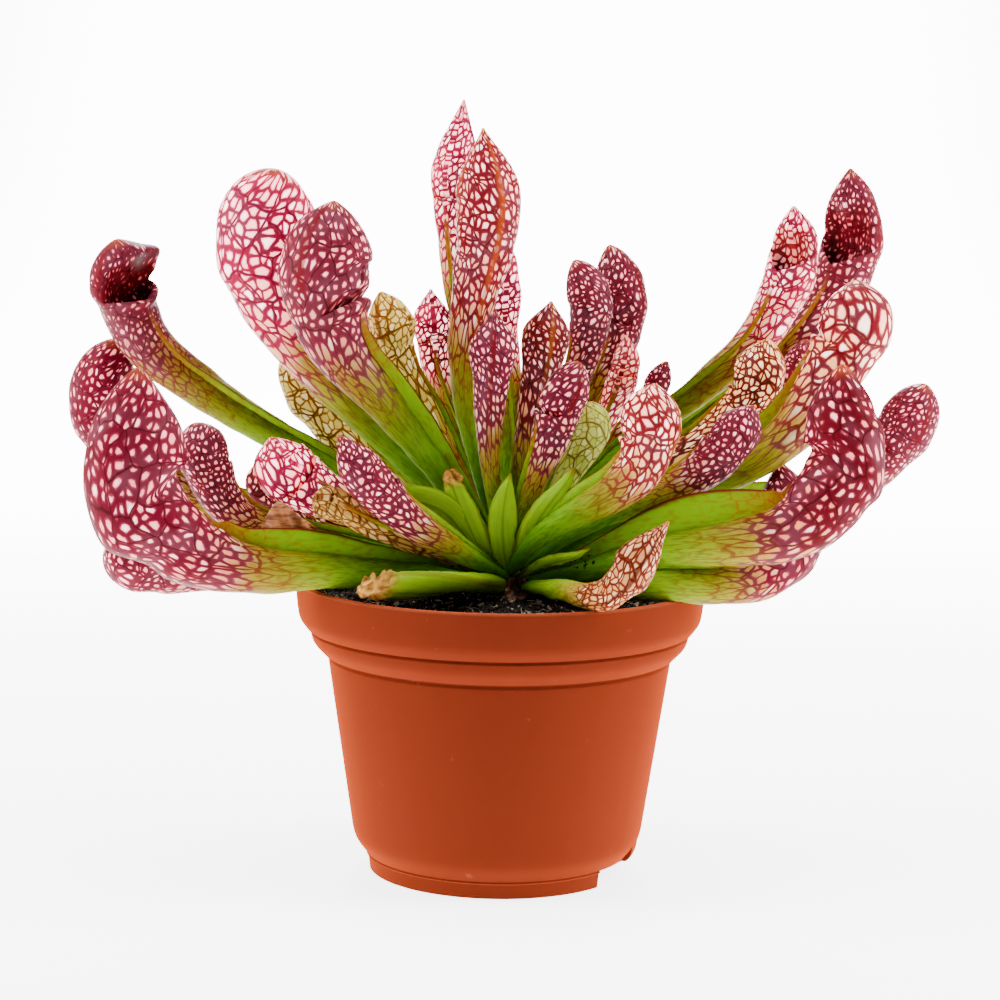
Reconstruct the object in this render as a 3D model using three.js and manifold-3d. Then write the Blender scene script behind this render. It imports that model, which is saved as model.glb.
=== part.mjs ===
// A potted pitcher plant of the parrot pitcher kind: a clump of hooded, net-veined tube leaves on one
// short rhizome, in a filled plastic nursery pot. Millimetres, +Z up, +X to the right, and -Y is the
// front. The origin is on the floor, at the middle of the pot's foot.
import * as THREE from "three";
import { mergeVertices } from "three/addons/utils/BufferGeometryUtils.js";
import Module from "manifold-3d";

const wasm = await Module();
wasm.setup();

// Driving sizes
const GAP = 0.3; // clearance between two pieces that touch
const POT_RIM_RADIUS = 60; // a 12 cm nursery pot
const POT_HEIGHT = 86;
const POT_WALL = 1.6;
const POT_SIDES = 40;
const FLOOR_HEIGHT = 5.2; // underside of the pot's floor, inside the foot ring
const SOIL_EDGE_HEIGHT = 79.5;
const SOIL_SIDES = 28;
const CROWN = { x: 3, y: 4, across: 9.5, along: 21, level: 80, rise: 11, depth: 17 };

// The leaves were laid out as seen from a point in front of the pot. A leaf's points give what that view
// shows on the pot's middle plane, as x and height, and then the real distance behind that plane.
const VIEW_DISTANCE = 800;
const VIEW_HEIGHT = 215;
function seen(x, height, behind) {
  const k = 1 + behind / VIEW_DISTANCE;
  return new THREE.Vector3(x * k, behind, VIEW_HEIGHT - (VIEW_HEIGHT - height) * k);
}

// Each leaf: its name, the points of its middle line from the rhizome to the tip, the number of the point
// at its mouth, and its half sizes. hood, throat: [across, front to back]. stalk: across. wing: the
// height of the keel along the inner side. faces: where the mouth looks, if not to the plant's middle.
const PITCHERS = [
  // front and low
  {
    name: "pitcher_left_low_large", mouth: 4, hood: [12.5, 15], throat: [9, 9.8], stalk: 4, wing: 6.5,
    way: [[-4, 85, -9], [-24, 88.5, -20], [-50, 90.5, -30], [-78, 91, -37], [-97, 97, -40],
      [-105.5, 111, -41], [-107, 128, -40], [-106.5, 147, -38]],
  },
  {
    name: "pitcher_left_under", mouth: 4, hood: [7, 7.5], throat: [6, 6.5], stalk: 3, wing: 3,
    way: [[-5, 86, -4], [-32, 89, -8], [-60, 89, -13], [-88, 87.5, -18], [-100, 87.5, -20],
      [-109.5, 90.5, -21], [-114, 98, -21]],
  },
  {
    name: "pitcher_right_low_large", mouth: 5, hood: [10, 11.2], throat: [7.5, 8.2], stalk: 4, wing: 10,
    way: [[9, 85, -9], [26, 90.5, -20], [46, 97.5, -29], [66, 100, -34], [85, 103.5, -36.5],
      [95.5, 111.5, -37], [99.5, 123, -36], [98.5, 137, -35], [98.5, 151, -34]],
  },
  {
    name: "pitcher_right_under", mouth: 5, hood: [7.5, 7.6], throat: [7, 6.6], stalk: 4, wing: 0.6,
    way: [[11, 84.3, -3], [30, 85, -20], [48, 86.5, -31], [64, 87, -28], [76, 89.5, -22], [86, 97, -16],
      [88, 108, -12], [84, 121, -10]],
  },
  {
    name: "pitcher_front_dried", mouth: 4, hood: [4.6, 4.6], throat: [4.4, 4.4], stalk: 2.6, wing: 1,
    way: [[7, 84, -11], [18, 83, -34], [28, 81.5, -52], [34, 84, -58], [40, 92, -60], [45, 99, -58],
      [49, 104, -56]],
  },
  {
    name: "pitcher_front_left_keeled", mouth: 4, hood: [6, 6.3], throat: [5.6, 6], stalk: 3.2, wing: 2,
    way: [[1, 87, -13], [-8, 91.5, -20], [-18, 97.5, -27], [-27, 103, -32], [-35, 110.5, -36],
      [-42, 119, -38], [-48, 128, -39]],
  },
  {
    name: "pitcher_left_withered", mouth: 4, hood: [4.5, 5.2], throat: [4.6, 5.4], stalk: 2.4, wing: 1,
    way: [[-4, 88, -9], [-20, 94, -18], [-34, 100, -26], [-43, 104.5, -31], [-50, 108, -32],
      [-55.5, 109, -32]],
  },
  {
    name: "pitcher_front_right", mouth: 5, hood: [8, 8.8], throat: [7, 7.8], stalk: 3.3, wing: 3,
    way: [[2, 88, -12], [11, 99, -19], [22, 106, -25], [33, 112.5, -29], [40.5, 120, -31],
      [42.5, 127, -31.5], [43, 135, -31], [44, 144.5, -30]],
  },
  // left side
  {
    name: "pitcher_left_pale_open", mouth: 4, hood: [9, 8.5], throat: [8, 7.5], stalk: 2.8, wing: 2,
    faces: [0.2, -0.9, 0.5],
    way: [[-4, 90, -3], [-25, 99, -9], [-42, 106, -13], [-54, 111, -15], [-60, 113.5, -16], [-67, 118, -16],
      [-72, 127, -15]],
  },
  {
    name: "pitcher_left_brown_tip", mouth: 3, hood: [3.6, 4], throat: [3.6, 4], stalk: 2, wing: 1,
    way: [[-5, 90, 7], [-30, 98, 13], [-55, 104.5, 11], [-66, 108.5, 7], [-70.5, 112, 5], [-72, 119, 4]],
  },
  {
    name: "pitcher_left_dark_small", mouth: 5, hood: [6.5, 7.5], throat: [6, 6.5], stalk: 2.6, wing: 2,
    way: [[-5.5, 87, 7], [-30, 93, 2], [-55, 97, -4], [-72, 101, -8], [-81, 107.5, -10], [-86, 117, -11],
      [-88, 124, -11], [-90, 131, -10]],
  },
  {
    name: "pitcher_left_far", mouth: 4, hood: [9, 10], throat: [7.5, 8.5], stalk: 3, wing: 3,
    way: [[-5, 88, 14], [-38, 96, 21], [-75, 104, 26], [-99, 111, 27], [-112.5, 125, 27], [-116.5, 140, 26],
      [-112, 155, 24]],
  },
  {
    name: "pitcher_left_long", mouth: 5, hood: [10.5, 9.5], throat: [8.5, 8.5], stalk: 3.6, wing: 3,
    faces: [0.55, -0.8, 0.2],
    way: [[-4, 91, 11], [-30, 107, 20], [-60, 124, 25], [-89, 142, 22], [-103.5, 154, 17],
      [-109.5, 166, 14], [-110.5, 174, 12], [-112.5, 184, 10]],
  },
  {
    name: "pitcher_left_golden", mouth: 3, hood: [7, 8.5], throat: [5.5, 7], stalk: 2.6, wing: 2,
    way: [[-3.5, 92, 9], [-24, 108, 19], [-42, 122, 28], [-52, 134, 31], [-57.5, 144, 31], [-62, 155, 29]],
  },
  {
    name: "pitcher_left_tall_pale", mouth: 4, hood: [12.5, 15.4], throat: [9, 10], stalk: 3.6, wing: 3,
    way: [[-1, 93, 3], [-20, 113, 6], [-42, 136, 9], [-58, 156, 11], [-66, 171, 12], [-68.8, 188, 11],
      [-67, 205, 9]],
  },
  {
    name: "pitcher_left_tall_dark", mouth: 5, hood: [11.5, 14], throat: [10.5, 12], stalk: 3.6, wing: 5,
    way: [[-1, 93, -3], [-12, 109, -6], [-25, 126, -9], [-37.5, 142, -11], [-47.5, 154, -13],
      [-51.5, 166, -14], [-51.5, 179, -14], [-49.5, 196, -14]],
  },
  {
    name: "pitcher_left_inner_golden", mouth: 4, hood: [7, 7], throat: [5.2, 5.4], stalk: 2.2, wing: 2,
    faces: [0.8, -0.5, 0.3],
    way: [[0, 94, 13], [-11, 116, 21], [-21, 135, 25], [-28.5, 147, 26], [-31, 153.5, 26], [-33, 161, 26],
      [-36, 170, 25]],
  },
  {
    name: "pitcher_left_inner_pink", mouth: 4, hood: [6.3, 5.5], throat: [5.2, 5], stalk: 2.2, wing: 2,
    faces: [0.1, -1, 0.2],
    way: [[1, 94, 18], [-8, 118, 31], [-15, 136, 36], [-19.5, 148, 38], [-20.5, 156, 38], [-21, 163, 37],
      [-21.5, 171, 36]],
  },
  // middle
  {
    name: "pitcher_centre_tallest", mouth: 4, hood: [6.5, 6.5], throat: [5.6, 6], stalk: 2.4, wing: 2,
    faces: [-0.35, -1, 0.1],
    way: [[2, 95, 16], [-5, 125, 27], [-11, 155, 33], [-14.5, 180, 35], [-15.5, 196, 35], [-15, 205, 34.5],
      [-12.5, 225.5, 32]],
  },
  {
    name: "pitcher_centre_tall", mouth: 5, hood: [9.6, 8.5], throat: [9, 8], stalk: 2.5, wing: 2,
    faces: [-0.45, 0.9, 0],
    way: [[0.5, 94, 0], [-6, 116, -1], [-11, 138, -1], [-11.5, 154, -2], [-8.5, 171, -4], [-5.5, 187, -6],
      [-5.5, 202, -7], [-7, 217.5, -6]],
  },
  {
    name: "pitcher_centre_behind", mouth: 3, hood: [5.4, 5], throat: [4.6, 4.6], stalk: 2.1, wing: 1.5,
    faces: [0.2, -1, 0],
    way: [[3.5, 90, 8], [3, 120, 16], [1, 145, 19], [-0.5, 160, 20], [-0.5, 172, 20], [-1, 187, 19]],
  },
  {
    name: "pitcher_centre_front", mouth: 4, hood: [7, 6], throat: [6.6, 6], stalk: 2.1, wing: 1.5,
    faces: [0, 1, 0],
    way: [[0.5, 92, -7], [-1.5, 105, -10], [-3.5, 120, -12], [-4, 134, -14], [-3.5, 147, -15],
      [-2.5, 165, -14]],
  },
  {
    name: "pitcher_centre_bronze", mouth: 4, hood: [6.8, 6], throat: [6.4, 6], stalk: 2, wing: 1.5,
    faces: [-0.3, 1, 0],
    way: [[4, 94, 0], [4.5, 112, 1], [6.5, 127, 2], [9.5, 141, 2], [11.5, 153, 2], [13.5, 168, 2]],
  },
  {
    name: "pitcher_centre_bowed", mouth: 4, hood: [6.3, 6.5], throat: [6, 7], stalk: 2.2, wing: 1.5,
    faces: [-0.85, -0.45, 0.3],
    way: [[5, 91, -6], [6.5, 104, -10], [9.5, 115, -13], [13.5, 126, -15], [15.5, 133.5, -16],
      [18.5, 142, -16], [22, 150.5, -15]],
  },
  {
    name: "pitcher_centre_maroon", mouth: 4, hood: [5.6, 6.6], throat: [5, 5.8], stalk: 2, wing: 1.5,
    way: [[6, 93, 5], [9.5, 113, 10], [16, 132, 13], [22.5, 149, 13], [25, 161, 13], [24, 171, 12],
      [20, 180, 11]],
  },
  {
    name: "pitcher_centre_maroon_back", mouth: 4, hood: [6.4, 7], throat: [6, 6.8], stalk: 2.3, wing: 2,
    faces: [-0.6, -0.8, 0.1],
    way: [[5, 94, 15], [13, 116, 26], [24, 137, 32], [32, 153, 33], [34, 161, 33], [33.5, 172, 33],
      [30, 184.5, 31]],
  },
  {
    name: "pitcher_centre_coral", mouth: 4, hood: [4.2, 4.2], throat: [4.8, 4.8], stalk: 2, wing: 1.2,
    faces: [-0.2, -1, 0.2],
    way: [[8, 92, 9], [15, 108, 16], [24, 123, 21], [31, 136, 24], [34.5, 146, 24], [35.5, 151, 24],
      [35.5, 158.5, 23]],
  },
  {
    name: "pitcher_centre_faded", mouth: 3, hood: [5, 5.4], throat: [4.8, 5.2], stalk: 2.1, wing: 1,
    way: [[7.5, 92, 0], [13, 106, -1], [19, 117, -2], [24.5, 127, -2.5], [26, 131, -2.5], [25.5, 139, -2]],
  },
  // right side
  {
    name: "pitcher_right_small_tip", mouth: 3, hood: [3.8, 4], throat: [3.6, 4], stalk: 1.9, wing: 1,
    way: [[8, 92, 15], [20, 110, 26], [33, 127, 32], [42, 139, 34], [44.5, 144, 34], [47.5, 151, 33]],
  },
  {
    name: "pitcher_right_tall_pale", mouth: 6, hood: [7.2, 7], throat: [7.6, 7.6], stalk: 3, wing: 3,
    faces: [-0.55, -0.8, 0.2],
    way: [[7.5, 92, 5], [23, 113, 9], [45, 133, 12], [61, 146, 13], [73, 157.5, 13], [80, 170, 12],
      [82.5, 177, 11], [83.5, 185, 10], [83, 196.5, 8]],
  },
  {
    name: "pitcher_right_tall_dark", mouth: 5, hood: [9.3, 8.5], throat: [9, 8.5], stalk: 3, wing: 3,
    faces: [-0.55, -0.8, 0.2],
    way: [[7, 91, 20], [31, 113, 32], [58, 134, 37], [80, 152, 38], [93, 167, 37], [98, 178, 36],
      [100, 190, 35], [99, 207.5, 32]],
  },
  {
    name: "pitcher_right_round", mouth: 6, hood: [9.5, 10.6], throat: [8, 9.2], stalk: 3.2, wing: 5,
    way: [[9.5, 89, -3], [30, 103, -7], [54, 113, -9], [72, 121, -10], [85, 132, -11], [94, 146, -12],
      [99, 155, -12.5], [102, 164, -12.5], [102, 175.5, -12]],
  },
  {
    name: "pitcher_right_far", mouth: 5, hood: [8, 9], throat: [7, 8], stalk: 3, wing: 3,
    faces: [-0.75, -0.45, 0.5],
    way: [[10, 87, 10], [35, 101, 16], [65, 109, 19], [90, 112.5, 19], [105, 118.5, 17], [112.5, 126, 15],
      [118.5, 135, 14], [123, 145.5, 13]],
  },
  {
    name: "pitcher_right_golden", mouth: 5, hood: [7, 7.6], throat: [5.8, 6.4], stalk: 2.5, wing: 2,
    way: [[9, 91, 2], [26, 108, 2.5], [45, 120, 3], [60, 129, 3], [68, 136.5, 2.5], [71.5, 141, 2],
      [74, 147, 1.5], [76.5, 154.5, 1]],
  },
  {
    name: "pitcher_right_purple", mouth: 5, hood: [5.8, 6.6], throat: [5.6, 6.6], stalk: 2.4, wing: 1.5,
    way: [[6, 89, -8], [21, 100, -12], [38, 108.5, -16], [51, 114.5, -20], [60.5, 121, -22.5],
      [64, 125, -23], [68, 130, -23.5], [73, 138.5, -23]],
  },
  {
    name: "pitcher_right_shaded", mouth: 4, hood: [4.6, 5], throat: [4.6, 5], stalk: 2.2, wing: 1.5,
    way: [[9, 89, 13], [35, 108, 23], [60, 123, 26], [76, 135, 26], [83, 145, 25.5], [86, 150, 25],
      [88, 158, 24]],
  },
  // behind
  {
    name: "pitcher_back_low_left", mouth: 3, hood: [7, 7.5], throat: [6, 6.5], stalk: 2.8, wing: 3,
    way: [[-1, 87, 23], [-9, 94, 37], [-15, 101, 48], [-18, 109, 54], [-19, 117, 56], [-19, 129, 56]],
  },
  {
    name: "pitcher_back_low_right", mouth: 3, hood: [7.5, 8], throat: [6, 7], stalk: 2.8, wing: 3,
    way: [[7, 87, 23], [13, 95, 37], [18, 102, 48], [21, 110, 54], [22, 118, 56], [21, 132, 56]],
  },
  {
    name: "pitcher_back_left", mouth: 3, hood: [6, 6.5], throat: [5, 6], stalk: 2.4, wing: 2,
    way: [[-3, 89, 19], [-22, 99, 35], [-38, 105, 46], [-46, 111, 51], [-50, 117, 52], [-53, 128, 52]],
  },
  {
    name: "pitcher_back_right", mouth: 3, hood: [5.5, 6], throat: [5, 6], stalk: 2.4, wing: 2,
    way: [[9, 88, 18], [30, 97, 33], [48, 103, 43], [56, 108, 47], [60, 113, 48], [63, 122, 48]],
  },
  {
    name: "pitcher_back_high_centre", mouth: 3, hood: [6.5, 7], throat: [6, 6.5], stalk: 2.4, wing: 2,
    way: [[3.5, 93, 21], [3, 121, 37], [-1, 148, 48], [-5, 162, 52], [-6, 170, 53], [-6.5, 186, 53]],
  },
  {
    name: "pitcher_back_high_left", mouth: 3, hood: [7.5, 8], throat: [6.5, 7], stalk: 2.6, wing: 3,
    way: [[-1, 92, 20], [-20, 124, 38], [-42, 151, 49], [-52, 163, 52], [-56, 171, 52], [-58, 186, 51]],
  },
  {
    name: "pitcher_back_high_right", mouth: 3, hood: [6.5, 7], throat: [6, 6.5], stalk: 2.4, wing: 2,
    way: [[5.5, 91, 24], [14, 117, 41], [22, 138, 52], [27, 149, 56], [29, 156, 57], [29, 171, 57]],
  },
  {
    name: "pitcher_back_far_right", mouth: 3, hood: [7.5, 8], throat: [6.5, 7], stalk: 2.6, wing: 3,
    way: [[9, 89.5, 23], [38, 119, 44], [66, 142, 53], [86, 158, 56], [93, 166, 56], [98, 181, 55]],
  },
];

// Flat young or spent leaves with no pitcher: half sizes are [across, thick].
const BLADES = [
  {
    name: "blade_dry_tip", size: [3.9, 1.6], blunt: 0.55, faces: [0.2, 1, 0.2],
    way: [[-1.5, 93, -10], [-6, 98.5, -14], [-10.5, 106, -16.5], [-13.5, 112, -17.5], [-15, 118.5, -18]],
  },
  {
    name: "blade_front", size: [4.1, 1.7], blunt: 0, faces: [0, 1, 0],
    way: [[1.5, 91, -12], [0.5, 96, -15], [0.3, 104, -17], [1, 111, -17.5], [2.5, 117.5, -17.5]],
  },
  {
    name: "blade_right", size: [3.2, 1.5], blunt: 0.3, faces: [0.1, 1, 0.2],
    way: [[4.5, 92, -12], [8, 101, -17], [13, 108, -20.5], [17.5, 113.5, -22.5], [21, 119, -23]],
  },
  {
    name: "blade_low_right", size: [2.3, 1.2], blunt: 0, faces: [0, 0.8, 0.5],
    way: [[5.5, 87, -9.5], [13, 91.3, -20], [18, 92.6, -24], [22, 93.6, -27], [26, 95.5, -29]],
  },
  {
    name: "blade_front_dry_tip", size: [4, 1.8], blunt: 0.8, faces: [0, 0.8, 0.6],
    way: [[-1, 85, -13], [-11, 85, -26], [-22, 84.5, -37], [-31, 85, -44], [-37, 85.5, -48]],
  },
  {
    name: "blade_cut", size: [5.2, 1.7], blunt: 1, faces: [0.2, 1, 0.2],
    way: [[-3, 91, -8], [-10, 100, -13], [-17, 106.5, -17], [-25, 109, -20], [-32, 109.5, -22]],
  },
];

// Solids
function toSolid(geometry) {
  const bare = geometry.index ? geometry.toNonIndexed() : geometry.clone();
  bare.deleteAttribute("normal");
  bare.deleteAttribute("uv");
  const merged = mergeVertices(bare, 1e-4);
  return new wasm.Manifold(
    new wasm.Mesh({
      numProp: 3,
      vertProperties: new Float32Array(merged.attributes.position.array),
      triVerts: new Uint32Array(merged.index.array),
    }),
  );
}

function toGeometry(solid) {
  const mesh = solid.getMesh();
  const points = new Float32Array(mesh.numVert * 3);
  for (let i = 0; i < mesh.numVert; i++) {
    points.set(mesh.vertProperties.subarray(i * mesh.numProp, i * mesh.numProp + 3), i * 3);
  }
  const geometry = new THREE.BufferGeometry();
  geometry.setAttribute("position", new THREE.BufferAttribute(points, 3));
  geometry.setIndex(new THREE.BufferAttribute(new Uint32Array(mesh.triVerts), 1));
  return geometry;
}

// A closed skin over rings of points, with a point at each end.
function skin(rings, start, end) {
  const sides = rings[0].length;
  const points = [start, ...rings.flat(), end];
  const last = points.length - 1;
  const at = (ring, side) => 1 + ring * sides + (side % sides);
  const faces = [];
  for (let side = 0; side < sides; side++) {
    faces.push(0, at(0, side + 1), at(0, side));
    faces.push(last, at(rings.length - 1, side), at(rings.length - 1, side + 1));
    for (let ring = 0; ring + 1 < rings.length; ring++) {
      faces.push(at(ring, side), at(ring, side + 1), at(ring + 1, side + 1));
      faces.push(at(ring, side), at(ring + 1, side + 1), at(ring + 1, side));
    }
  }
  const geometry = new THREE.BufferGeometry();
  geometry.setAttribute("position", new THREE.Float32BufferAttribute(points.flatMap((p) => p.toArray()), 3));
  geometry.setIndex(faces);
  return geometry;
}

const smooth = (x) => {
  const t = Math.min(1, Math.max(0, x));
  return t * t * (3 - 2 * t);
};

// The value at x of a smooth curve through [x, value] pairs, level where its neighbours turn.
function along(pairs, x) {
  let i = 0;
  while (i < pairs.length - 2 && x > pairs[i + 1][0]) i++;
  const [x0, y0] = pairs[i];
  const [x1, y1] = pairs[i + 1];
  const width = x1 - x0;
  const slope = (k) => {
    if (k <= 0 || k >= pairs.length - 1) return (y1 - y0) / width;
    const before = (pairs[k][1] - pairs[k - 1][1]) / (pairs[k][0] - pairs[k - 1][0]);
    const after = (pairs[k + 1][1] - pairs[k][1]) / (pairs[k + 1][0] - pairs[k][0]);
    return before * after <= 0 ? 0 : (2 * before * after) / (before + after);
  };
  const t = Math.min(1, Math.max(0, (x - x0) / width));
  const start = y0 * (1 + 2 * t) + slope(i) * width * t;
  const end = y1 * (3 - 2 * t) + slope(i + 1) * width * (t - 1);
  return start * (1 - t) ** 2 + end * t * t;
}

// A leaf's middle line, with its direction and its inner, or ventral, side at any share of its length.
function middleLine({ way, mouth, faces }) {
  const points = way.map(([x, height, behind]) => seen(x, height, behind));
  const curve = new THREE.CatmullRomCurve3(points, false, "centripetal");
  curve.arcLengthDivisions = 240;
  const length = curve.getLength();
  const lengths = curve.getLengths(240);
  const mouthShare = mouth === undefined ? 1 : lengths[Math.round((240 * mouth) / (way.length - 1))] / length;
  const outward = points[mouth ?? points.length - 1].clone().sub(points[0]).setZ(0).normalize();
  const looks = faces && new THREE.Vector3(...faces);
  const level = (v, axis) => v.addScaledVector(axis, -v.dot(axis)).normalize();
  function frame(share) {
    const u = Math.min(1, Math.max(0, share));
    const point = curve.getPointAt(u);
    const axis = curve.getTangentAt(u);
    const inner = outward.clone().multiplyScalar(-axis.z);
    inner.z += axis.dot(outward);
    level(inner, axis);
    if (looks) {
      inner.lerp(level(looks.clone(), axis), smooth(u / (0.8 * mouthShare)));
      level(inner, axis);
    }
    return { point, axis, inner, side: inner.clone().cross(axis) };
  }
  return { length, mouthShare, frame };
}

// A point off the middle line: across to the side, inward to the ventral side, and ahead along the line.
const offset = ({ point, axis, inner, side }, across, inward, ahead) =>
  point.clone().addScaledVector(side, across).addScaledVector(inner, inward).addScaledVector(axis, ahead);

// A hooded pitcher. The tube widens from its stalk to the throat, the wing runs along its inner side, and
// the inner side folds in under the hood to make the mouth.
function pitcher(leaf, grow = 0) {
  const { hood, throat, stalk, wing } = leaf;
  const line = middleLine(leaf);
  const tube = line.mouthShare * line.length;
  const cap = line.length - tube;
  // Half sizes as [share of the length, value], across the leaf first and then from front to back.
  const tubeSizes = [[0.8, 0.85], [0.55, 0.7]].map(([foot, heel], i) => {
    const widened = (share) => stalk + share * (throat[i] - stalk);
    const low = [[0, stalk * foot], [0.12, stalk * heel], [0.45, widened(0.1)]];
    return [...low, [0.8, widened(0.62)], [1, throat[i]]];
  });
  const hoodSizes = [[0.82, 0.47], [0.8, 0.44]].map(([above, near], i) => [
    [0, throat[i]], [0.34, hood[i]], [0.66, hood[i] * above], [0.87, hood[i] * near], [1, 0.5],
  ]);
  const keel = [[0, 0.15], [0.3, 0.5], [0.6, 1], [0.84, 0.5], [1, 0.08]];

  // Each ring: its place along the leaf, then how far its inner side is pulled in and slid back for the
  // mouth. The mouth's rings all lie square to the throat. A small leaf has fewer rings.
  const small = hood[1] < 7.2;
  const tubeShares = small ? [0, 0.22, 0.5, 0.8] : [0, 0.14, 0.34, 0.55, 0.76, 0.92];
  const hoodShares = small ? [0.34, 0.66, 0.9] : [0.34, 0.58, 0.78, 0.92];
  const rings = [
    ...tubeShares.map((share) => [share * tube, 0, 0]),
    [tube - 0.02 * cap, -0.06, 0.02 * cap], // lip
    [tube + 0.04 * cap, 0.72, -0.26 * cap], // inside of the mouth
    [tube + 0.12 * cap, -0.08, -0.04 * cap], // brow of the hood
    ...hoodShares.map((share) => [tube + share * cap, 0, 0]),
  ].map(([s, pull, slide]) => {
    const at = line.frame((pull ? tube : s) / line.length);
    const ahead = pull ? s - tube : 0;
    const inTube = s <= tube;
    const [halfAcross, halfDeep] = (inTube ? tubeSizes : hoodSizes).map(
      (sizes) => along(sizes, inTube ? s / tube : (s - tube) / cap) + grow,
    );
    const fin = inTube ? wing * along(keel, s / tube) : 0.15;
    const rim = (turn, share) => {
      const angle = (turn * Math.PI) / 180;
      const across = Math.sin(angle) * halfAcross * (1 - 0.3 * share * Math.max(0, pull));
      return offset(at, across, -Math.cos(angle) * halfDeep * (1 - pull * share), ahead + slide * share);
    };
    const inward = halfDeep * (1 - pull);
    const finEdge = inward + fin * (pull > 0 ? 0.1 : 1);
    const finRoot = Math.min(0.8, 0.3 * (halfAcross - grow)) + grow;
    const finTop = Math.min(0.4, 0.15 * (halfAcross - grow)) + grow;
    return [
      rim(0, 0), rim(45, 0), rim(90, 0), rim(135, 0.55),
      offset(at, finRoot, inward * 0.985, ahead + slide), offset(at, finTop, finEdge, ahead + slide),
      offset(at, -finTop, finEdge, ahead + slide), offset(at, -finRoot, inward * 0.985, ahead + slide),
      rim(225, 0.55), rim(270, 0), rim(315, 0),
    ];
  });
  return skin(rings, offset(line.frame(0), 0, 0, -grow), offset(line.frame(1), 0, 0, grow));
}

// A flat leaf: a slender pointed or blunt blade with a lens-shaped section.
function blade(leaf, grow = 0) {
  const line = middleLine({ ...leaf, mouth: undefined });
  const [wide, thick] = leaf.size;
  const { blunt } = leaf;
  const shape = [
    [0, 0.55], [0.25, 0.85], [0.55, 1],
    [0.8, 0.6 + 0.35 * blunt], [0.95, 0.2 + 0.6 * blunt], [1, 0.08 + 0.7 * blunt],
  ];
  const rings = [0, 0.15, 0.35, 0.55, 0.75, 0.9, 0.985].map((share) => {
    const at = line.frame(share);
    const a = wide * along(shape, share) + grow;
    const d = thick * (1 - 0.35 * share) + grow;
    return [0, 50, 90, 130, 180, 230, 270, 310].map((turn) => {
      const angle = (turn * Math.PI) / 180;
      return offset(at, Math.sin(angle) * a, -Math.cos(angle) * d, 0);
    });
  });
  return skin(rings, offset(line.frame(0), 0, 0, -grow), offset(line.frame(1), 0, 0, grow));
}

// The rhizome: a squat dome of old leaf bases, half buried, as one lumpy closed skin.
function rhizome(grow = 0) {
  const rings = [];
  const sides = 18;
  for (const tilt of [-80, -55, -25, 5, 30, 52, 72]) {
    const t = (tilt * Math.PI) / 180;
    const ring = [];
    for (let i = 0; i < sides; i++) {
      const angle = (2 * Math.PI * i) / sides;
      const lump = 1 + 0.05 * Math.cos(5 * angle + tilt) + 0.04 * Math.cos(9 * angle - 2 * tilt);
      const tall = tilt > 0 ? CROWN.rise : CROWN.depth;
      ring.push(
        new THREE.Vector3(
          CROWN.x + (CROWN.across * lump + grow) * Math.cos(t) * Math.cos(angle),
          CROWN.y + (CROWN.along * lump + grow) * Math.cos(t) * Math.sin(angle),
          CROWN.level + (tall + grow) * Math.sin(t),
        ),
      );
    }
    rings.push(ring);
  }
  const low = new THREE.Vector3(CROWN.x, CROWN.y, CROWN.level - CROWN.depth - grow);
  const high = new THREE.Vector3(CROWN.x, CROWN.y, CROWN.level + CROWN.rise + grow);
  return skin(rings, low, high);
}

// The pot: a moulded wall with a rolled rim, two rounded steps and a foot ring cut by drain notches.
function pot() {
  const rim = POT_RIM_RADIUS;
  const outer = [
    [37.5, 0], [38.4, FLOOR_HEIGHT], [39.3, 6.1], [41.8, 9.6], [42.9, 13], [50.5, 63.8], [51.8, 65.3],
    [55, 68.3], [56.2, 71.4], [58.2, 73.9], [59.4, 77.6], [59.8, 85], [rim - 0.8, POT_HEIGHT],
  ];
  const inner = [
    [rim - 2.5, POT_HEIGHT], [59 - POT_WALL, 77.4], [57 - POT_WALL, 73.4], [52.4 - POT_WALL, 66.4],
    [50 - POT_WALL, 63], [42.7 - POT_WALL, 13.6], [40, 9.4], [35.5, FLOOR_HEIGHT + POT_WALL],
  ];
  const underside = [[0, FLOOR_HEIGHT], [36.2, FLOOR_HEIGHT], [35.9, 0]];
  const profile = [...underside, ...outer, ...inner, [0, FLOOR_HEIGHT + POT_WALL]];
  const lathe = new THREE.LatheGeometry(profile.map(([r, z]) => new THREE.Vector2(r, z)), POT_SIDES);
  lathe.rotateX(Math.PI / 2);
  let solid = toSolid(lathe);
  for (const turn of [-24.5, 155.5]) {
    const notch = new THREE.BoxGeometry(9, 19, 2 * FLOOR_HEIGHT - 0.5);
    notch.translate(37.5, 0, 0);
    notch.rotateZ((turn * Math.PI) / 180);
    solid = solid.subtract(toSolid(notch));
  }
  for (let hole = 0; hole < 4; hole++) {
    const drain = new THREE.CylinderGeometry(3.2, 3.2, 12, 10);
    drain.rotateX(Math.PI / 2);
    drain.translate(24, 0, FLOOR_HEIGHT);
    drain.rotateZ((Math.PI / 2) * hole + 0.3);
    solid = solid.subtract(toSolid(drain));
  }
  return solid;
}

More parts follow.
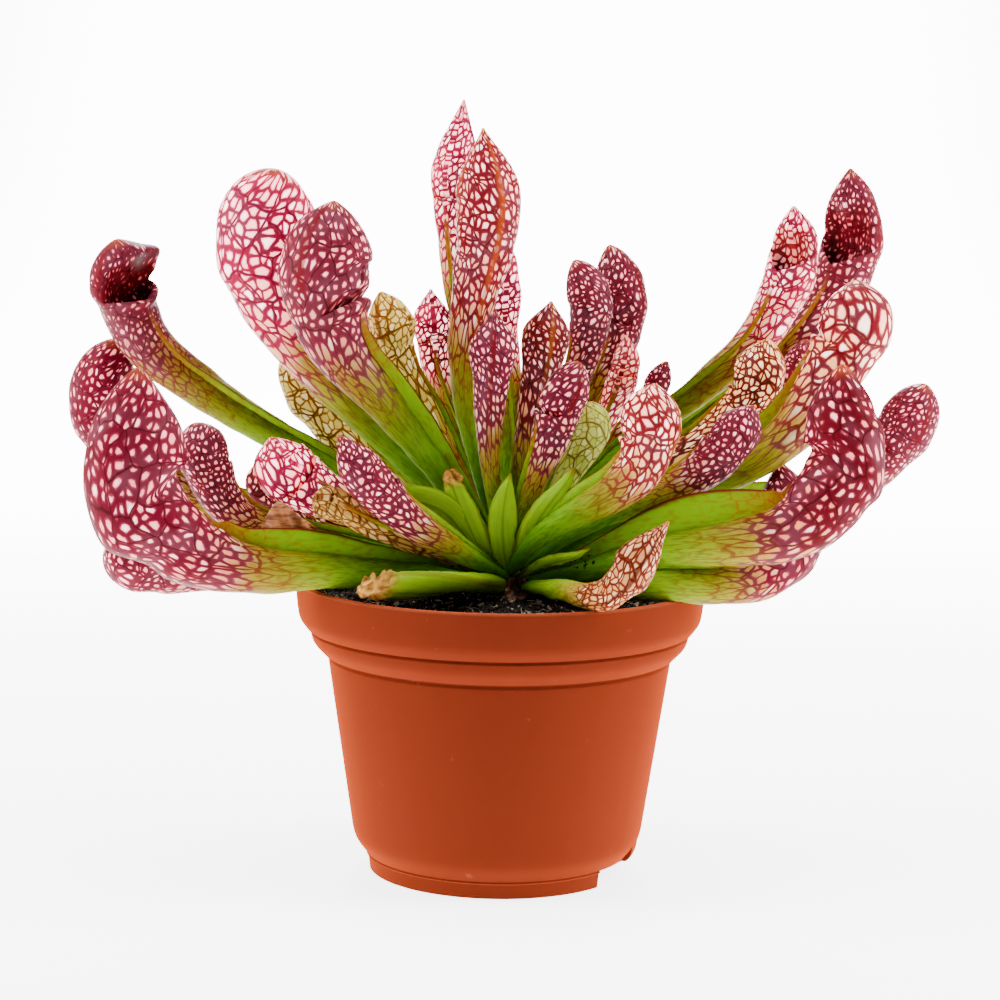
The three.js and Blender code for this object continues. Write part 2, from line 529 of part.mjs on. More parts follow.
// The growing medium: fills the pot, is gently mounded and rough on top, and has a plain pit for the rhizome.
function soil() {
  const gap = GAP + 0.15;
  const wall = [
    [34.6, FLOOR_HEIGHT + POT_WALL + GAP], [38.6, 9.8], [42.5 - POT_WALL - gap, 14.4],
    [49.8 - POT_WALL - gap, 63.4], [52 - POT_WALL - gap, 66.8], [56.6 - POT_WALL - gap, 73.8],
  ];
  const rings = wall.map(([r, z]) => ringOfSoil(r, () => z));
  const rough = (r, angle) => 0.5 * Math.cos(7 * angle + r) + 0.35 * Math.cos(11 * angle - 2 * r);
  const mounds = [[58.6 - POT_WALL - gap, -0.8], [51, 0.3], [42, 0.9], [31, 1.7], [19, 2.4], [8, 2.8]];
  for (const [r, mound] of mounds) {
    rings.push(ringOfSoil(r, (angle) => SOIL_EDGE_HEIGHT + mound + rough(r, angle)));
  }
  const bottom = new THREE.Vector3(0, 0, FLOOR_HEIGHT + POT_WALL + GAP);
  const top = new THREE.Vector3(0, 0, SOIL_EDGE_HEIGHT + 3);
  return toSolid(skin(rings, bottom, top)).subtract(toSolid(rhizome(GAP))).asOriginal().simplify(0.06);
}

function ringOfSoil(radius, heightAt) {
  const ring = [];
  for (let i = 0; i < SOIL_SIDES; i++) {
    const angle = (2 * Math.PI * i) / SOIL_SIDES;
    ring.push(new THREE.Vector3(radius * Math.cos(angle), radius * Math.sin(angle), heightAt(angle)));
  }
  return ring;
}

// Finishes
const finish = (color, roughness) => new THREE.MeshStandardMaterial({ color, roughness, metalness: 0 });
const potPlastic = finish(0xc2552f, 0.45);
const peat = finish(0x2a211c, 0.95);
const bark = finish(0x5a3a2c, 0.85);
const hoodRed = finish(0x9c2a45, 0.4);
const bladeGreen = finish(0x7fa21c, 0.4);

const plant = new THREE.Group();
function addMesh(name, geometry, material) {
  const mesh = new THREE.Mesh(geometry, material);
  mesh.name = name;
  plant.add(mesh);
}

addMesh("pot", toGeometry(pot()), potPlastic);
addMesh("soil", toGeometry(soil()), peat);
addMesh("rhizome", rhizome(), bark);
// Each leaf is seated on the rhizome, and pared where it would press into a leaf placed before it. What is
// thinner than a sliver after that is smoothed away.
const SLIVER = 0.06;
const seat = toSolid(rhizome(GAP));
const touching = (a, b) => [0, 1, 2].every((i) => a.min[i] <= b.max[i] && b.min[i] <= a.max[i]);
const placed = [];
for (const leaf of [...PITCHERS, ...BLADES]) {
  const shape = leaf.size ? blade : pitcher;
  let solid = toSolid(shape(leaf)).subtract(seat);
  for (const fat of placed) {
    if (touching(solid.boundingBox(), fat.boundingBox())) solid = solid.subtract(fat);
  }
  const bodies = solid.asOriginal().simplify(SLIVER).decompose();
  bodies.sort((a, b) => b.volume() - a.volume());
  addMesh(leaf.name, toGeometry(bodies[0]), leaf.size ? bladeGreen : hoodRed);
  placed.push(toSolid(shape(leaf, GAP)));
}

export default plant;
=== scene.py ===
# A potted pitcher plant, dressed for the render: hooded, net-veined tube leaves in a filled nursery pot.
# Sizes are millimetres in the sections and are turned to metres where a mesh is made.
import math

import bmesh
import bpy
import numpy as np
from mathutils import Matrix, Vector
from mathutils.bvhtree import BVHTree


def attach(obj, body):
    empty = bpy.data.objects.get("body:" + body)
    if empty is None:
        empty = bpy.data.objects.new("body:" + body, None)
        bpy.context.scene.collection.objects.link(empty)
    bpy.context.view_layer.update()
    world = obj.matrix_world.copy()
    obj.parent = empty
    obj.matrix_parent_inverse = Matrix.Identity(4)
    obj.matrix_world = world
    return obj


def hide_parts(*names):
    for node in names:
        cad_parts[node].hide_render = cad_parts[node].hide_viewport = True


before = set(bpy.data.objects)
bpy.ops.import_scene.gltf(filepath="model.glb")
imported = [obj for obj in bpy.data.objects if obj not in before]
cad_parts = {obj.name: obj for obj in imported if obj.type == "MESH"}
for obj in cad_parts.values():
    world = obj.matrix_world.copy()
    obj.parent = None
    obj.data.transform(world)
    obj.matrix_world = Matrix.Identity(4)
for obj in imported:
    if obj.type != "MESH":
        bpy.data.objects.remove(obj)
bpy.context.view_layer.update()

# The studio: one pale sweep of paper under and behind the pot, two tall side lights that leave the middle
# of the pot darker, and a wide soft light above. The camera stands 800 mm in front and 215 mm up.
MM = 0.001


def linear(hex_colour):
    """The linear colour, with alpha, of an sRGB hex value."""
    channels = [int(hex_colour[i:i + 2], 16) / 255 for i in (1, 3, 5)]
    return [c / 12.92 if c <= 0.04045 else ((c + 0.055) / 1.055) ** 2.4 for c in channels] + [1]


def add(tree, kind, *values, output=None, **named):
    """Adds a node with its settings and links, and gives its first output or the one named. Values fill the
    inputs in use, in order. A capitalised name is an input, with _ for a space, and any other a setting. An
    input is a number, an sRGB hex colour or the output to link."""
    made = tree.nodes.new(kind if "Node" in kind else "ShaderNode" + kind)
    for key, value in named.items():
        if key[0].islower():
            setattr(made, key, value)
    given = list(zip([socket for socket in made.inputs if socket.enabled], values))
    given += [(made.inputs[key.replace("_", " ")], value) for key, value in named.items() if key[0].isupper()]
    for socket, value in given:
        if isinstance(value, bpy.types.NodeSocket):
            tree.links.new(value, socket)
        else:
            socket.default_value = linear(value) if isinstance(value, str) else value
    if output:
        return made.outputs[output]
    return next((socket for socket in made.outputs if socket.enabled), None)


def new_material(name):
    """A material and its tree, still empty."""
    material = bpy.data.materials.new(name)
    material.use_nodes = True
    material.node_tree.nodes.clear()
    return material, material.node_tree


def put_object(name, data):
    """A new object in the scene."""
    made = bpy.data.objects.new(name, data)
    bpy.context.scene.collection.objects.link(made)
    return made


def put_mesh(name, points_mm, faces, material, closed=False):
    """A new smooth object from points in millimetres. The faces of a closed one are turned outward."""
    mesh = bpy.data.meshes.new(name)
    mesh.from_pydata([tuple(p) for p in np.asarray(points_mm) * MM], [], faces)
    mesh.polygons.foreach_set("use_smooth", [True] * len(mesh.polygons))
    mesh.materials.append(material)
    mesh.update()
    if closed:
        edit = bmesh.new()
        edit.from_mesh(mesh)
        bmesh.ops.recalc_face_normals(edit, faces=edit.faces)
        edit.to_mesh(mesh)
        edit.free()
    return put_object(name, mesh)


SOFT = {"interpolation_type": "SMOOTHSTEP"}
paper, tree = new_material("matt_white_background_paper")
# Lit from behind as a light table is, so that it stays white round a soft shadow. The glow changes to the
# back, between two places near the pot and two behind it, and dies away to the sides.
place = add(tree, "SeparateXYZ", add(tree, "TexCoord", output="Object")).node.outputs
aside = add(tree, "Math", place[0], operation="ABSOLUTE")
glow = 1.0
for value, low, high, start, end in ((place[1], -200, -120, 1.1, 3.9), (place[1], 100, 1000, 1.0, 2.9),
                                     (aside, 350, 900, 1.0, 0.1)):
    share = add(tree, "MapRange", value, low * MM, high * MM, start, end, **SOFT)
    glow = add(tree, "Math", glow, share, operation="MULTIPLY")
add(tree, "OutputMaterial", add(tree, "BsdfPrincipled", Base_Color="#F7F7F7", Roughness=0.8,
                                Specular_IOR_Level=0.1, Emission_Color="#FFFFFF", Emission_Strength=glow))

SWEEP_HALF_WIDTH = 4000
SWEEP_FRONT = -2500
SWEEP_BACK = 1400
SWEEP_BEND = 900
SWEEP_HEIGHT = 4000
SWEEP_STEPS = 16
profile = [(SWEEP_FRONT, 0), (SWEEP_BACK, 0)]
for step in range(1, SWEEP_STEPS):
    angle = math.pi / 2 * step / SWEEP_STEPS
    profile.append((SWEEP_BACK + SWEEP_BEND * math.sin(angle), SWEEP_BEND * (1 - math.cos(angle))))
profile += [(SWEEP_BACK + SWEEP_BEND, SWEEP_BEND), (SWEEP_BACK + SWEEP_BEND, SWEEP_HEIGHT)]
points = [(side * SWEEP_HALF_WIDTH, y, z) for y, z in profile for side in (-1, 1)]
faces = [(2 * i, 2 * i + 1, 2 * i + 3, 2 * i + 2) for i in range(len(profile) - 1)]
sweep = put_mesh("studio_sweep", points, faces, paper)

DOME_RADIUS = 15000
DOME_GLOW = 2.2
wall, tree = new_material("pale_studio_wall")
# The room beyond the paper: plain and even, so that the paper's ends don't show dark from the side or back.
add(tree, "OutputMaterial", add(tree, "Emission", Strength=DOME_GLOW))
shape = bmesh.new()
bmesh.ops.create_icosphere(shape, subdivisions=4, radius=DOME_RADIUS * MM)
dome = put_mesh("studio_dome", [], [], wall)
shape.to_mesh(dome.data)
shape.free()
# It is only seen: it throws no light and no reflection on the plant.
dome.visible_diffuse = False
dome.visible_glossy = False
dome.visible_transmission = False
dome.visible_shadow = False

AIR_GLOW = 0.05
world = bpy.data.worlds.new("studio_air")
world.use_nodes = True
world.node_tree.nodes["Background"].inputs["Color"].default_value = linear("#FFFFFF")
world.node_tree.nodes["Background"].inputs["Strength"].default_value = AIR_GLOW
bpy.context.scene.world = world

# Each light: where it stands, what it looks at, its width and height, and its power in watts.
for name, place, aim, size, power in (
    ("side_light_left", (-900, -60, 520), (0, 0, 110), (500, 1100), 28.5),
    ("side_light_right", (900, -30, 480), (0, 0, 110), (420, 1100), 30),
    ("top_light", (0, -120, 1250), (0, 0, 100), (900, 700), 21),
    ("front_fill", (-150, -1600, 700), (0, 0, 110), (900, 700), 1.0),
):
    lamp = bpy.data.lights.new(name, "AREA")
    lamp.shape = "RECTANGLE"
    lamp.size, lamp.size_y = size[0] * MM, size[1] * MM
    lamp.energy = power
    lamp_object = put_object(name, lamp)
    lamp_object.location = Vector(place) * MM
    lamp_object.rotation_euler = (Vector(aim) - Vector(place)).to_track_quat("-Z", "Y").to_euler()

EYE = (-0.5, -800, 215)
EYE_TILT = 0.131
EYE_ROLL = 0.015
EYE_REACH = 20000
LENS_IN_PIXELS = 2757
PICTURE_SIDE = 1000
SENSOR_WIDTH = 36
camera = put_object("camera", bpy.data.cameras.new("camera"))
camera.location = Vector(EYE) * MM
turn = Matrix.Rotation(math.pi / 2 - EYE_TILT, 3, "X") @ Matrix.Rotation(EYE_ROLL, 3, "Z")
camera.rotation_euler = turn.to_euler()
camera.data.sensor_width = SENSOR_WIDTH
camera.data.lens = SENSOR_WIDTH * LENS_IN_PIXELS / PICTURE_SIDE
camera.data.clip_end = EYE_REACH * MM
bpy.context.scene.camera = camera

# The pot: one thermoformed polypropylene shell in terracotta colour, with a plain upper band, two rounded
# steps, a tapered body and a foot ring cut away at two drain notches. Turned as a profile, ring by ring.
POT_SIDES = 160
CORNER_STEPS = 5
RING_TOP = 4.95
NOTCH_MIDDLES = (-15.5, 164.5)
NOTCH_HALF = 23.5
TAB_MIDDLE = -6.0
TAB_HALF = 12.5
# The heights in mm of the painted highlight on the rim's top edge.
RIM_HIGHLIGHT = (85.3, 85.8)
FLOW_WIDTH = 11.11
CLOUD_SIZE = 45.45
GRAIN_SIZE = 0.4167
SCUFF_SIZE = 4.762

COLOURS = {"data_type": "RGBA"}
plastic, tree = new_material("terracotta_polypropylene")
# Moulded plastic: satin, a little cloudy, with faint upright flow marks and fine scuffs, and a painted
# highlight along the rim's top edge.
place = add(tree, "TexCoord", output="Object")
upright = add(tree, "Mapping", Vector=place, Scale=(1, 1, 0.12))
flow = add(tree, "TexNoise", Vector=upright, Scale=1 / (FLOW_WIDTH * MM), Detail=3)
cloud = add(tree, "TexNoise", Vector=place, Scale=1 / (CLOUD_SIZE * MM), Detail=4)
grain = add(tree, "TexNoise", Vector=place, Scale=1 / (GRAIN_SIZE * MM), Detail=2)
scuff = add(tree, "TexNoise", Vector=place, Scale=1 / (SCUFF_SIZE * MM), Detail=6, Roughness=0.7)
mottle = add(tree, "Math", cloud, 0.5, operation="MULTIPLY")
mottle = add(tree, "Math", flow, 0.5, mottle, operation="MULTIPLY_ADD")
colour = add(tree, "Mix", mottle, "#521B0E", "#571E10", **COLOURS)
marked = add(tree, "Math", add(tree, "MapRange", scuff, 0.66, 0.74), 0.08, operation="MULTIPLY")
colour = add(tree, "Mix", marked, colour, "#D98A66", **COLOURS)
height = add(tree, "SeparateXYZ", place).node.outputs["Z"]
# Painted highlight: the rim's top edge is made paler, where it catches the light from above.
edge = add(tree, "MapRange", height, RIM_HIGHLIGHT[0] * MM, RIM_HIGHLIGHT[1] * MM, 0.0, 0.8)
colour = add(tree, "Mix", edge, colour, "#763520", **COLOURS)
rough = add(tree, "MapRange", scuff, 0.3, 0.75, 0.36, 0.52)
bump = add(tree, "Bump", Strength=0.25, Distance=0.05 * MM, Height=grain)
bump = add(tree, "Bump", Strength=0.35, Distance=0.3 * MM, Height=flow, Normal=bump)
add(tree, "OutputMaterial", add(tree, "BsdfPrincipled", Base_Color=colour, Roughness=rough, IOR=1.49,
                                Specular_IOR_Level=0.0, Sheen_Weight=0.43, Sheen_Roughness=0.45,
                                Sheen_Tint="#FF6C36", Normal=bump))


def turned(profile, start=0.0, end=360.0, on_axis=False):
    """Points and faces of a profile turned about Z, whole or from one angle to another. A profile is a
    closed loop, or starts and ends on the axis."""
    whole = end - start >= 360
    count = max(3, round(POT_SIDES * (end - start) / 360))
    angles = np.radians(start + (end - start) * np.arange(count if whole else count + 1) / count)
    points = [(r * math.cos(a), r * math.sin(a), z) for a in angles for r, z in profile]
    n = len(profile)
    faces = []
    for i in range(count):
        j = (i + 1) % len(angles)
        for k in range(n - 1 if on_axis else n):
            k2 = (k + 1) % n
            faces.append((i * n + k, j * n + k, j * n + k2, i * n + k2))
    if not whole:
        faces.append(tuple(range(n)))
        faces.append(tuple(range(len(angles) * n - 1, len(angles) * n - n - 1, -1)))
    return points, faces


def rounded(corners, sizes):
    """A profile whose corners are rounded off, each by its own size."""
    result = []
    for i, (corner, size) in enumerate(zip(corners, sizes)):
        corner = Vector(corner)
        before = Vector(corners[i - 1]) - corner
        after = Vector(corners[(i + 1) % len(corners)]) - corner
        if size <= 0:
            result.append(tuple(corner))
            continue
        a = corner + before.normalized() * min(size, 0.45 * before.length)
        b = corner + after.normalized() * min(size, 0.45 * after.length)
        for k in range(CORNER_STEPS + 1):
            t = k / CORNER_STEPS
            result.append(tuple(a * (1 - t) ** 2 + corner * 2 * t * (1 - t) + b * t * t))
    return result


def applied(made):
    """Gives an object the mesh that its modifier makes."""
    bpy.context.view_layer.update()
    result = bpy.data.meshes.new_from_object(made.evaluated_get(bpy.context.evaluated_depsgraph_get()))
    made.modifiers.clear()
    made.data = result


# Outer side from the foot up, then the rim's flat lip, then the inner side down to the floor.
shell = [
    (0, 5.1), (36.6, 5.1), (38.5, 5.1), (41.9, 9.3), (42.8, 12.4), (50.4, 63.1), (49.9, 63.9), (50.1, 64.6),
    (51.6, 64.6), (54.9, 68.0), (55.7, 71.0), (55.1, 71.6), (55.2, 72.2), (56.6, 72.1), (58.9, 75.0),
    (59.6, 79), (60.0, 85.4), (59.8, 86.0), (57.7, 86.0), (57.5, 85.3), (57.4, 77.4), (55.4, 73.4),
    (50.8, 66.4), (48.4, 63.0), (41.1, 13.6), (39.0, 9.4), (35.5, 6.9), (0, 6.9),
]
rounding = [0, 0.2, 0.15, 2.2, 1.4, 0.3, 0.2, 0.2, 0.3, 1.6, 0.3, 0.2, 0.2, 0.3, 1.5, 3, 0.45, 0.25, 0.3, 0.4,
            1, 2, 2, 1, 1, 2, 1, 0]
points, faces = turned(rounded(shell, rounding), on_axis=True)
ring = rounded([(36.0, 0), (37.7, 0), (38.2, RING_TOP - 0.7), (38.8, RING_TOP - 0.25), (38.5, RING_TOP + 0.3),
                (36.2, RING_TOP + 0.3)], [0.3, 0.3, 0.2, 0.15, 0, 0])
for first, last in ((NOTCH_MIDDLES[0] + NOTCH_HALF, NOTCH_MIDDLES[1] - NOTCH_HALF),
                    (NOTCH_MIDDLES[1] + NOTCH_HALF, NOTCH_MIDDLES[0] - NOTCH_HALF + 360)):
    ring_points, ring_faces = turned(ring, first, last)
    faces += [tuple(k + len(points) for k in face) for face in ring_faces]
    points += ring_points
# The wall comes lower in a short tab over the notch at the right.
tab = rounded([(38.0, 9.0), (38.4, 5.0), (40.3, 4.9), (41.6, 7.4), (41.9, 10.0)], [0, 0.3, 1.0, 1.0, 0])
tab_points, tab_faces = turned(tab, TAB_MIDDLE - TAB_HALF, TAB_MIDDLE + TAB_HALF)
faces += [tuple(k + len(points) for k in face) for face in tab_faces]
points += tab_points
pot = put_mesh("pot_shell", points, faces, plastic)
edit = bmesh.new()
edit.from_mesh(pot.data)
bmesh.ops.remove_doubles(edit, verts=edit.verts, dist=0.001 * MM)
bmesh.ops.recalc_face_normals(edit, faces=edit.faces)
edit.to_mesh(pot.data)
edit.free()

# Four drain holes are punched through the pot's floor. Its faces are then smooth up to the sharper edges.
DRAIN_COUNT = 4
DRAIN_RADIUS = 3.2
DRAIN_CIRCLE = 24
DRAIN_MIDDLE = 6
DRAIN_DEPTH = 6
DRAIN_TURN = 0.3
SHARP_EDGE = 38
punches = bmesh.new()
for hole in range(DRAIN_COUNT):
    angle = 2 * math.pi / DRAIN_COUNT * hole + DRAIN_TURN
    spot = Vector((DRAIN_CIRCLE * math.cos(angle), DRAIN_CIRCLE * math.sin(angle), DRAIN_MIDDLE)) * MM
    bmesh.ops.create_cone(punches, cap_ends=True, segments=32, radius1=DRAIN_RADIUS * MM,
                          radius2=DRAIN_RADIUS * MM, depth=DRAIN_DEPTH * MM, matrix=Matrix.Translation(spot))
punch_mesh = bpy.data.meshes.new("drain_punch")
punches.to_mesh(punch_mesh)
punches.free()
punch = put_object("drain_punch", punch_mesh)
cut = pot.modifiers.new("drain", "BOOLEAN")
cut.object = punch
cut.solver = "EXACT"
applied(pot)
bpy.data.objects.remove(punch)
edit = bmesh.new()
edit.from_mesh(pot.data)
for face in edit.faces:
    face.smooth = True
for edge in edit.edges:
    edge.smooth = not (len(edge.link_faces) == 2 and edge.calc_face_angle() > math.radians(SHARP_EDGE))
edit.to_mesh(pot.data)
edit.free()
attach(pot, "root")
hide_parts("pot")

# The growing medium: dark damp peat, a little mounded, in lumps, with its own fine unevenness. Its body fills
# the pot down to the floor, just inside the wall.
SOIL_EDGE = 79.2
SOIL_RADIUS = 56.6
SOIL_MOUND = 3.4
SOIL_RINGS = 84
SOIL_SIDES = 200
SOIL_LUMP = 0.45
SOIL_SEED = 7
SOIL_BODY = ((56.2, 76), (54.6, 72.6), (48.0, 62.6), (40.6, 14.6), (38.4, 9.8), (34.6, 7.3))
SPECK_SIZE = 1.111
PATCH_SIZE = 6.25

peat, tree = new_material("damp_peat")
# Nearly black and matt, with a damp gleam on some crumbs and brown fibre here and there.
place = add(tree, "TexCoord", output="Object")
speck = add(tree, "TexNoise", Vector=place, Scale=1 / (SPECK_SIZE * MM), Detail=5, Roughness=0.7)
patch = add(tree, "TexNoise", Vector=place, Scale=1 / (PATCH_SIZE * MM), Detail=3)
ramp = add(tree, "ValToRGB", speck)
stops = ramp.node.color_ramp.elements
for position, colour in ((0.36, "#050404"), (0.5, "#120D0A"), (0.6, "#2C2018"), (0.7, "#7A6450")):
    stops.new(position).color = linear(colour)
stops.remove(stops[0])
stops.remove(stops[-1])
rough = add(tree, "MapRange", patch, 0.35, 0.65, 0.55, 0.95)
bump = add(tree, "Bump", Strength=0.8, Distance=0.6 * MM, Height=speck)
add(tree, "OutputMaterial", add(tree, "BsdfPrincipled", Base_Color=ramp, Roughness=rough,
                                Specular_IOR_Level=0.12, Normal=bump))


def ring_faces(first, last, sides):
    """The quads between rings of points that follow one another, from the first point to the last ring."""
    faces = []
    for ring in range(first, last, sides):
        for j in range(sides):
            a, b = ring + j, ring + (j + 1) % sides
            faces.append((a, b, b + sides, a + sides))
    return faces
def soil_level(x, y):
    """Height of the medium's surface in mm, with its mounds and lumps."""
    r = np.hypot(x, y)
    level = SOIL_EDGE + SOIL_MOUND * (1 - np.clip(r / SOIL_RADIUS, 0, 1) ** 1.6)
    level = level + 0.5 * np.sin(0.21 * x + 1.0) * np.cos(0.17 * y - 0.6)
    level = level + 0.4 * np.sin(0.53 * x - 0.4 * y) + 0.35 * np.cos(0.47 * y + 0.61 * x + 2)
    return level + 0.3 * np.sin(1.31 * x + 0.7) * np.sin(1.13 * y + 2.1)


random = np.random.RandomState(SOIL_SEED)
rings = np.linspace(0.6, SOIL_RADIUS, SOIL_RINGS)
angles = 2 * math.pi * np.arange(SOIL_SIDES) / SOIL_SIDES
grid_x = rings[:, None] * np.cos(angles)
grid_y = rings[:, None] * np.sin(angles)
grid_z = soil_level(grid_x, grid_y) + random.uniform(-SOIL_LUMP, SOIL_LUMP, grid_x.shape)
grid_z[-1] -= 1.2
points = np.stack([grid_x, grid_y, grid_z], -1).reshape(-1, 3).tolist()
for radius, z in SOIL_BODY:
    points += [[radius * math.cos(a), radius * math.sin(a), z] for a in angles]
faces = [face[::-1] for face in ring_faces(0, len(points) - SOIL_SIDES, SOIL_SIDES)]
faces += [tuple(range(SOIL_SIDES)), tuple(range(len(points) - 1, len(points) - SOIL_SIDES - 1, -1))]
soil = put_mesh("peat_body", points, faces, peat, closed=True)
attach(soil, "root")
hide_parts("soil")

# Loose crumbs, chips and fibres lie on the peat. A Geometry Nodes tree scatters each kind over the top,
# turned and sized at random, as real mesh.
CHIP_STREAK = 2.381
FIBRE_STREAK = 6.667
STRAND_RINGS = 8
FULL_TURN = 6.28

chip_bark, tree = new_material("weathered_bark_chip")
# Dry brown bark with paler worn edges.
place = add(tree, "TexCoord", output="Object")
streak = add(tree, "TexNoise", Vector=place, Scale=1 / (CHIP_STREAK * MM), Detail=4)
colour = add(tree, "Mix", streak, "#34261C", "#B49C84", **COLOURS)
add(tree, "OutputMaterial", add(tree, "BsdfPrincipled", Base_Color=colour, Roughness=0.85))

fibre_pale, tree = new_material("pale_root_fibre")
# Dead sphagnum and root fibre: thin, dull and straw-coloured to grey.
place = add(tree, "TexCoord", output="Object")
streak = add(tree, "TexNoise", Vector=place, Scale=1 / (FIBRE_STREAK * MM), Detail=2)
colour = add(tree, "Mix", streak, "#4A3626", "#B09A7C", **COLOURS)
add(tree, "OutputMaterial", add(tree, "BsdfPrincipled", Base_Color=colour, Roughness=0.8))


def lump(name, stretch, seed, material):
    """A small angular lump, one unit (a metre) across, to be scattered."""
    shape = bmesh.new()
    bmesh.ops.create_icosphere(shape, subdivisions=1, radius=0.5)
    draw = np.random.RandomState(seed)
    for vertex in shape.verts:
        vertex.co = Vector(vertex.co[i] * stretch[i] for i in range(3)) * draw.uniform(0.7, 1.25)
    mesh = bpy.data.meshes.new(name)
    shape.to_mesh(mesh)
    shape.free()
    mesh.materials.append(material)
    return bpy.data.objects.new(name, mesh)


def strand(name, bend, seed, material):
    """A bent four-sided fibre, one unit long, to be scattered."""
    draw = np.random.RandomState(seed)
    points = []
    for i in range(STRAND_RINGS):
        t = i / (STRAND_RINGS - 1)
        sideways = bend * math.sin(math.pi * t) + draw.uniform(-0.02, 0.02)
        middle = Vector((t - 0.5, sideways, 0.05 * draw.uniform(-1, 1)))
        r = 0.014 * math.sin(math.pi * (0.12 + 0.8 * t))
        for a in (0, 1.57, 3.14, 4.71):
            points.append(tuple(middle + Vector((0, r * math.cos(a), r * math.sin(a)))))
    last = len(points) - 4
    faces = ring_faces(0, last, 4) + [(3, 2, 1, 0), (last, last + 1, last + 2, last + 3)]
    mesh = bpy.data.meshes.new(name)
    mesh.from_pydata(points, [], faces)
    mesh.materials.append(material)
    return bpy.data.objects.new(name, mesh)


scatter = bpy.data.node_groups.new("scatter_on_peat", "GeometryNodeTree")
for label, kind in (("Geometry", "Geometry"), ("Piece", "Object"), ("Finish", "Material"),
                    ("Spacing", "Float"), ("Density", "Float"), ("Smallest", "Float"), ("Largest", "Float"),
                    ("Tumble", "Float"), ("Seed", "Int")):
    scatter.interface.new_socket(name=label, in_out="INPUT", socket_type="NodeSocket" + kind)
scatter.interface.new_socket(name="Geometry", in_out="OUTPUT", socket_type="NodeSocketGeometry")
given = add(scatter, "NodeGroupInput").node.outputs
spots = add(scatter, "GeometryNodeDistributePointsOnFaces", Mesh=given["Geometry"],
            Distance_Min=given["Spacing"], Density_Max=given["Density"], Seed=given["Seed"],
            distribute_method="POISSON")
back = add(scatter, "Math", given["Tumble"], -1.0, operation="MULTIPLY")
low_turn = add(scatter, "CombineXYZ", back, back, 0.0)
high_turn = add(scatter, "CombineXYZ", given["Tumble"], given["Tumble"], FULL_TURN)
turn = add(scatter, "FunctionNodeRandomValue", low_turn, high_turn, Seed=given["Seed"],
           data_type="FLOAT_VECTOR")
size = add(scatter, "FunctionNodeRandomValue", given["Smallest"], given["Largest"], Seed=given["Seed"],
           data_type="FLOAT")
piece = add(scatter, "GeometryNodeObjectInfo", Object=given["Piece"], output="Geometry")
copies = add(scatter, "GeometryNodeInstanceOnPoints", Points=spots, Instance=piece, Rotation=turn,
             Scale=size)
solid = add(scatter, "GeometryNodeRealizeInstances", copies)
finished = add(scatter, "GeometryNodeSetMaterial", Geometry=solid, Material=given["Finish"])
add(scatter, "NodeGroupOutput", finished)


def scattered(name, base_mesh, values):
    """The scatter tree run over a mesh, as a plain object."""
    base = put_object(name, base_mesh)
    spread = base.modifiers.new("scatter", "NODES")
    spread.node_group = scatter
    for item in scatter.interface.items_tree:
        if item.in_out == "INPUT" and item.name in values:
            spread[item.identifier] = values[item.name]
    applied(base)
    return base


TOP_RINGS = 40
TOP_SIDES = 90
TOP_GAP = 0.25
top_points = []
top_faces = []
for i, r in enumerate(np.linspace(3, SOIL_RADIUS - 1.2, TOP_RINGS)):
    for j in range(TOP_SIDES):
        a = 2 * math.pi * j / TOP_SIDES
        x, y = r * math.cos(a), r * math.sin(a)
        top_points.append((x * MM, y * MM, (float(soil_level(x, y)) + TOP_GAP) * MM))
        if i:
            here, after = i * TOP_SIDES + j, i * TOP_SIDES + (j + 1) % TOP_SIDES
            top_faces.append((here - TOP_SIDES, here, after, after - TOP_SIDES))
soil_top = bpy.data.meshes.new("soil_top")
soil_top.from_pydata(top_points, [], top_faces)
# Each kind: its piece and finish, the least spacing, how many to a square metre at most, the smallest and
# the largest size, how far it tumbles in radians, and its seed.
for name, piece, finish, spacing, density, smallest, largest, tumble, seed in (
    ("peat_crumbs", lump("crumb", (1, 0.8, 0.7), 1, peat), peat, 0.9, 700000, 1.1, 2.6, 1.5, 3),
    ("bark_chips", lump("chip", (1.3, 0.7, 0.35), 2, chip_bark), chip_bark, 2.9, 60000, 1.4, 3.6, 0.7, 5),
    ("root_fibres", strand("fibre", 0.16, 3, fibre_pale), fibre_pale, 3.5, 42000, 4, 12, 0.35, 8),
    ("root_fibres_curled", strand("fibre_curled", 0.42, 4, fibre_pale), fibre_pale, 6, 16000, 4, 9, 0.5, 12),
):
    made = scattered(name, soil_top, {"Piece": piece, "Finish": finish, "Spacing": spacing * MM,
                                      "Density": density, "Smallest": smallest * MM,
                                      "Largest": largest * MM, "Tumble": tumble, "Seed": seed})
    bpy.data.objects.remove(piece)
    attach(made, "root")

# The rhizome: a short woody stem, half sunk in the peat, covered in the brown scaly bases of old leaves.
# Every leaf grows from it. Its rings swell with the scales, and it reaches deeper than it rises.
CROWN_MIDDLE = (3, 4, 80)
CROWN_ACROSS = 9.5
CROWN_ALONG = 21
CROWN_RISE = 11
CROWN_DEPTH = 17
CROWN_RINGS = 60
CROWN_SIDES = 96
CROWN_END = 84
SCALE_SIZE = 3.333
STAIN_SIZE = 7.692

crown_bark, tree = new_material("scaly_rhizome_bark")
# Dull red-brown scales, darker between, with paler worn bark here and there.
place = add(tree, "TexCoord", output="Object")
gap = add(tree, "TexVoronoi", Vector=place, Scale=1 / (SCALE_SIZE * MM), feature="DISTANCE_TO_EDGE")
stain = add(tree, "TexNoise", Vector=place, Scale=1 / (STAIN_SIZE * MM), Detail=4)
colour = add(tree, "Mix", stain, "#3A1E14", "#8A5A34", **COLOURS)
edge = add(tree, "MapRange", gap, 0.0, 0.12)
colour = add(tree, "Mix", edge, "#1C100B", colour, **COLOURS)
bump = add(tree, "Bump", Strength=0.7, Distance=0.8 * MM, Height=edge)
add(tree, "OutputMaterial", add(tree, "BsdfPrincipled", Base_Color=colour, Roughness=0.75, Normal=bump))

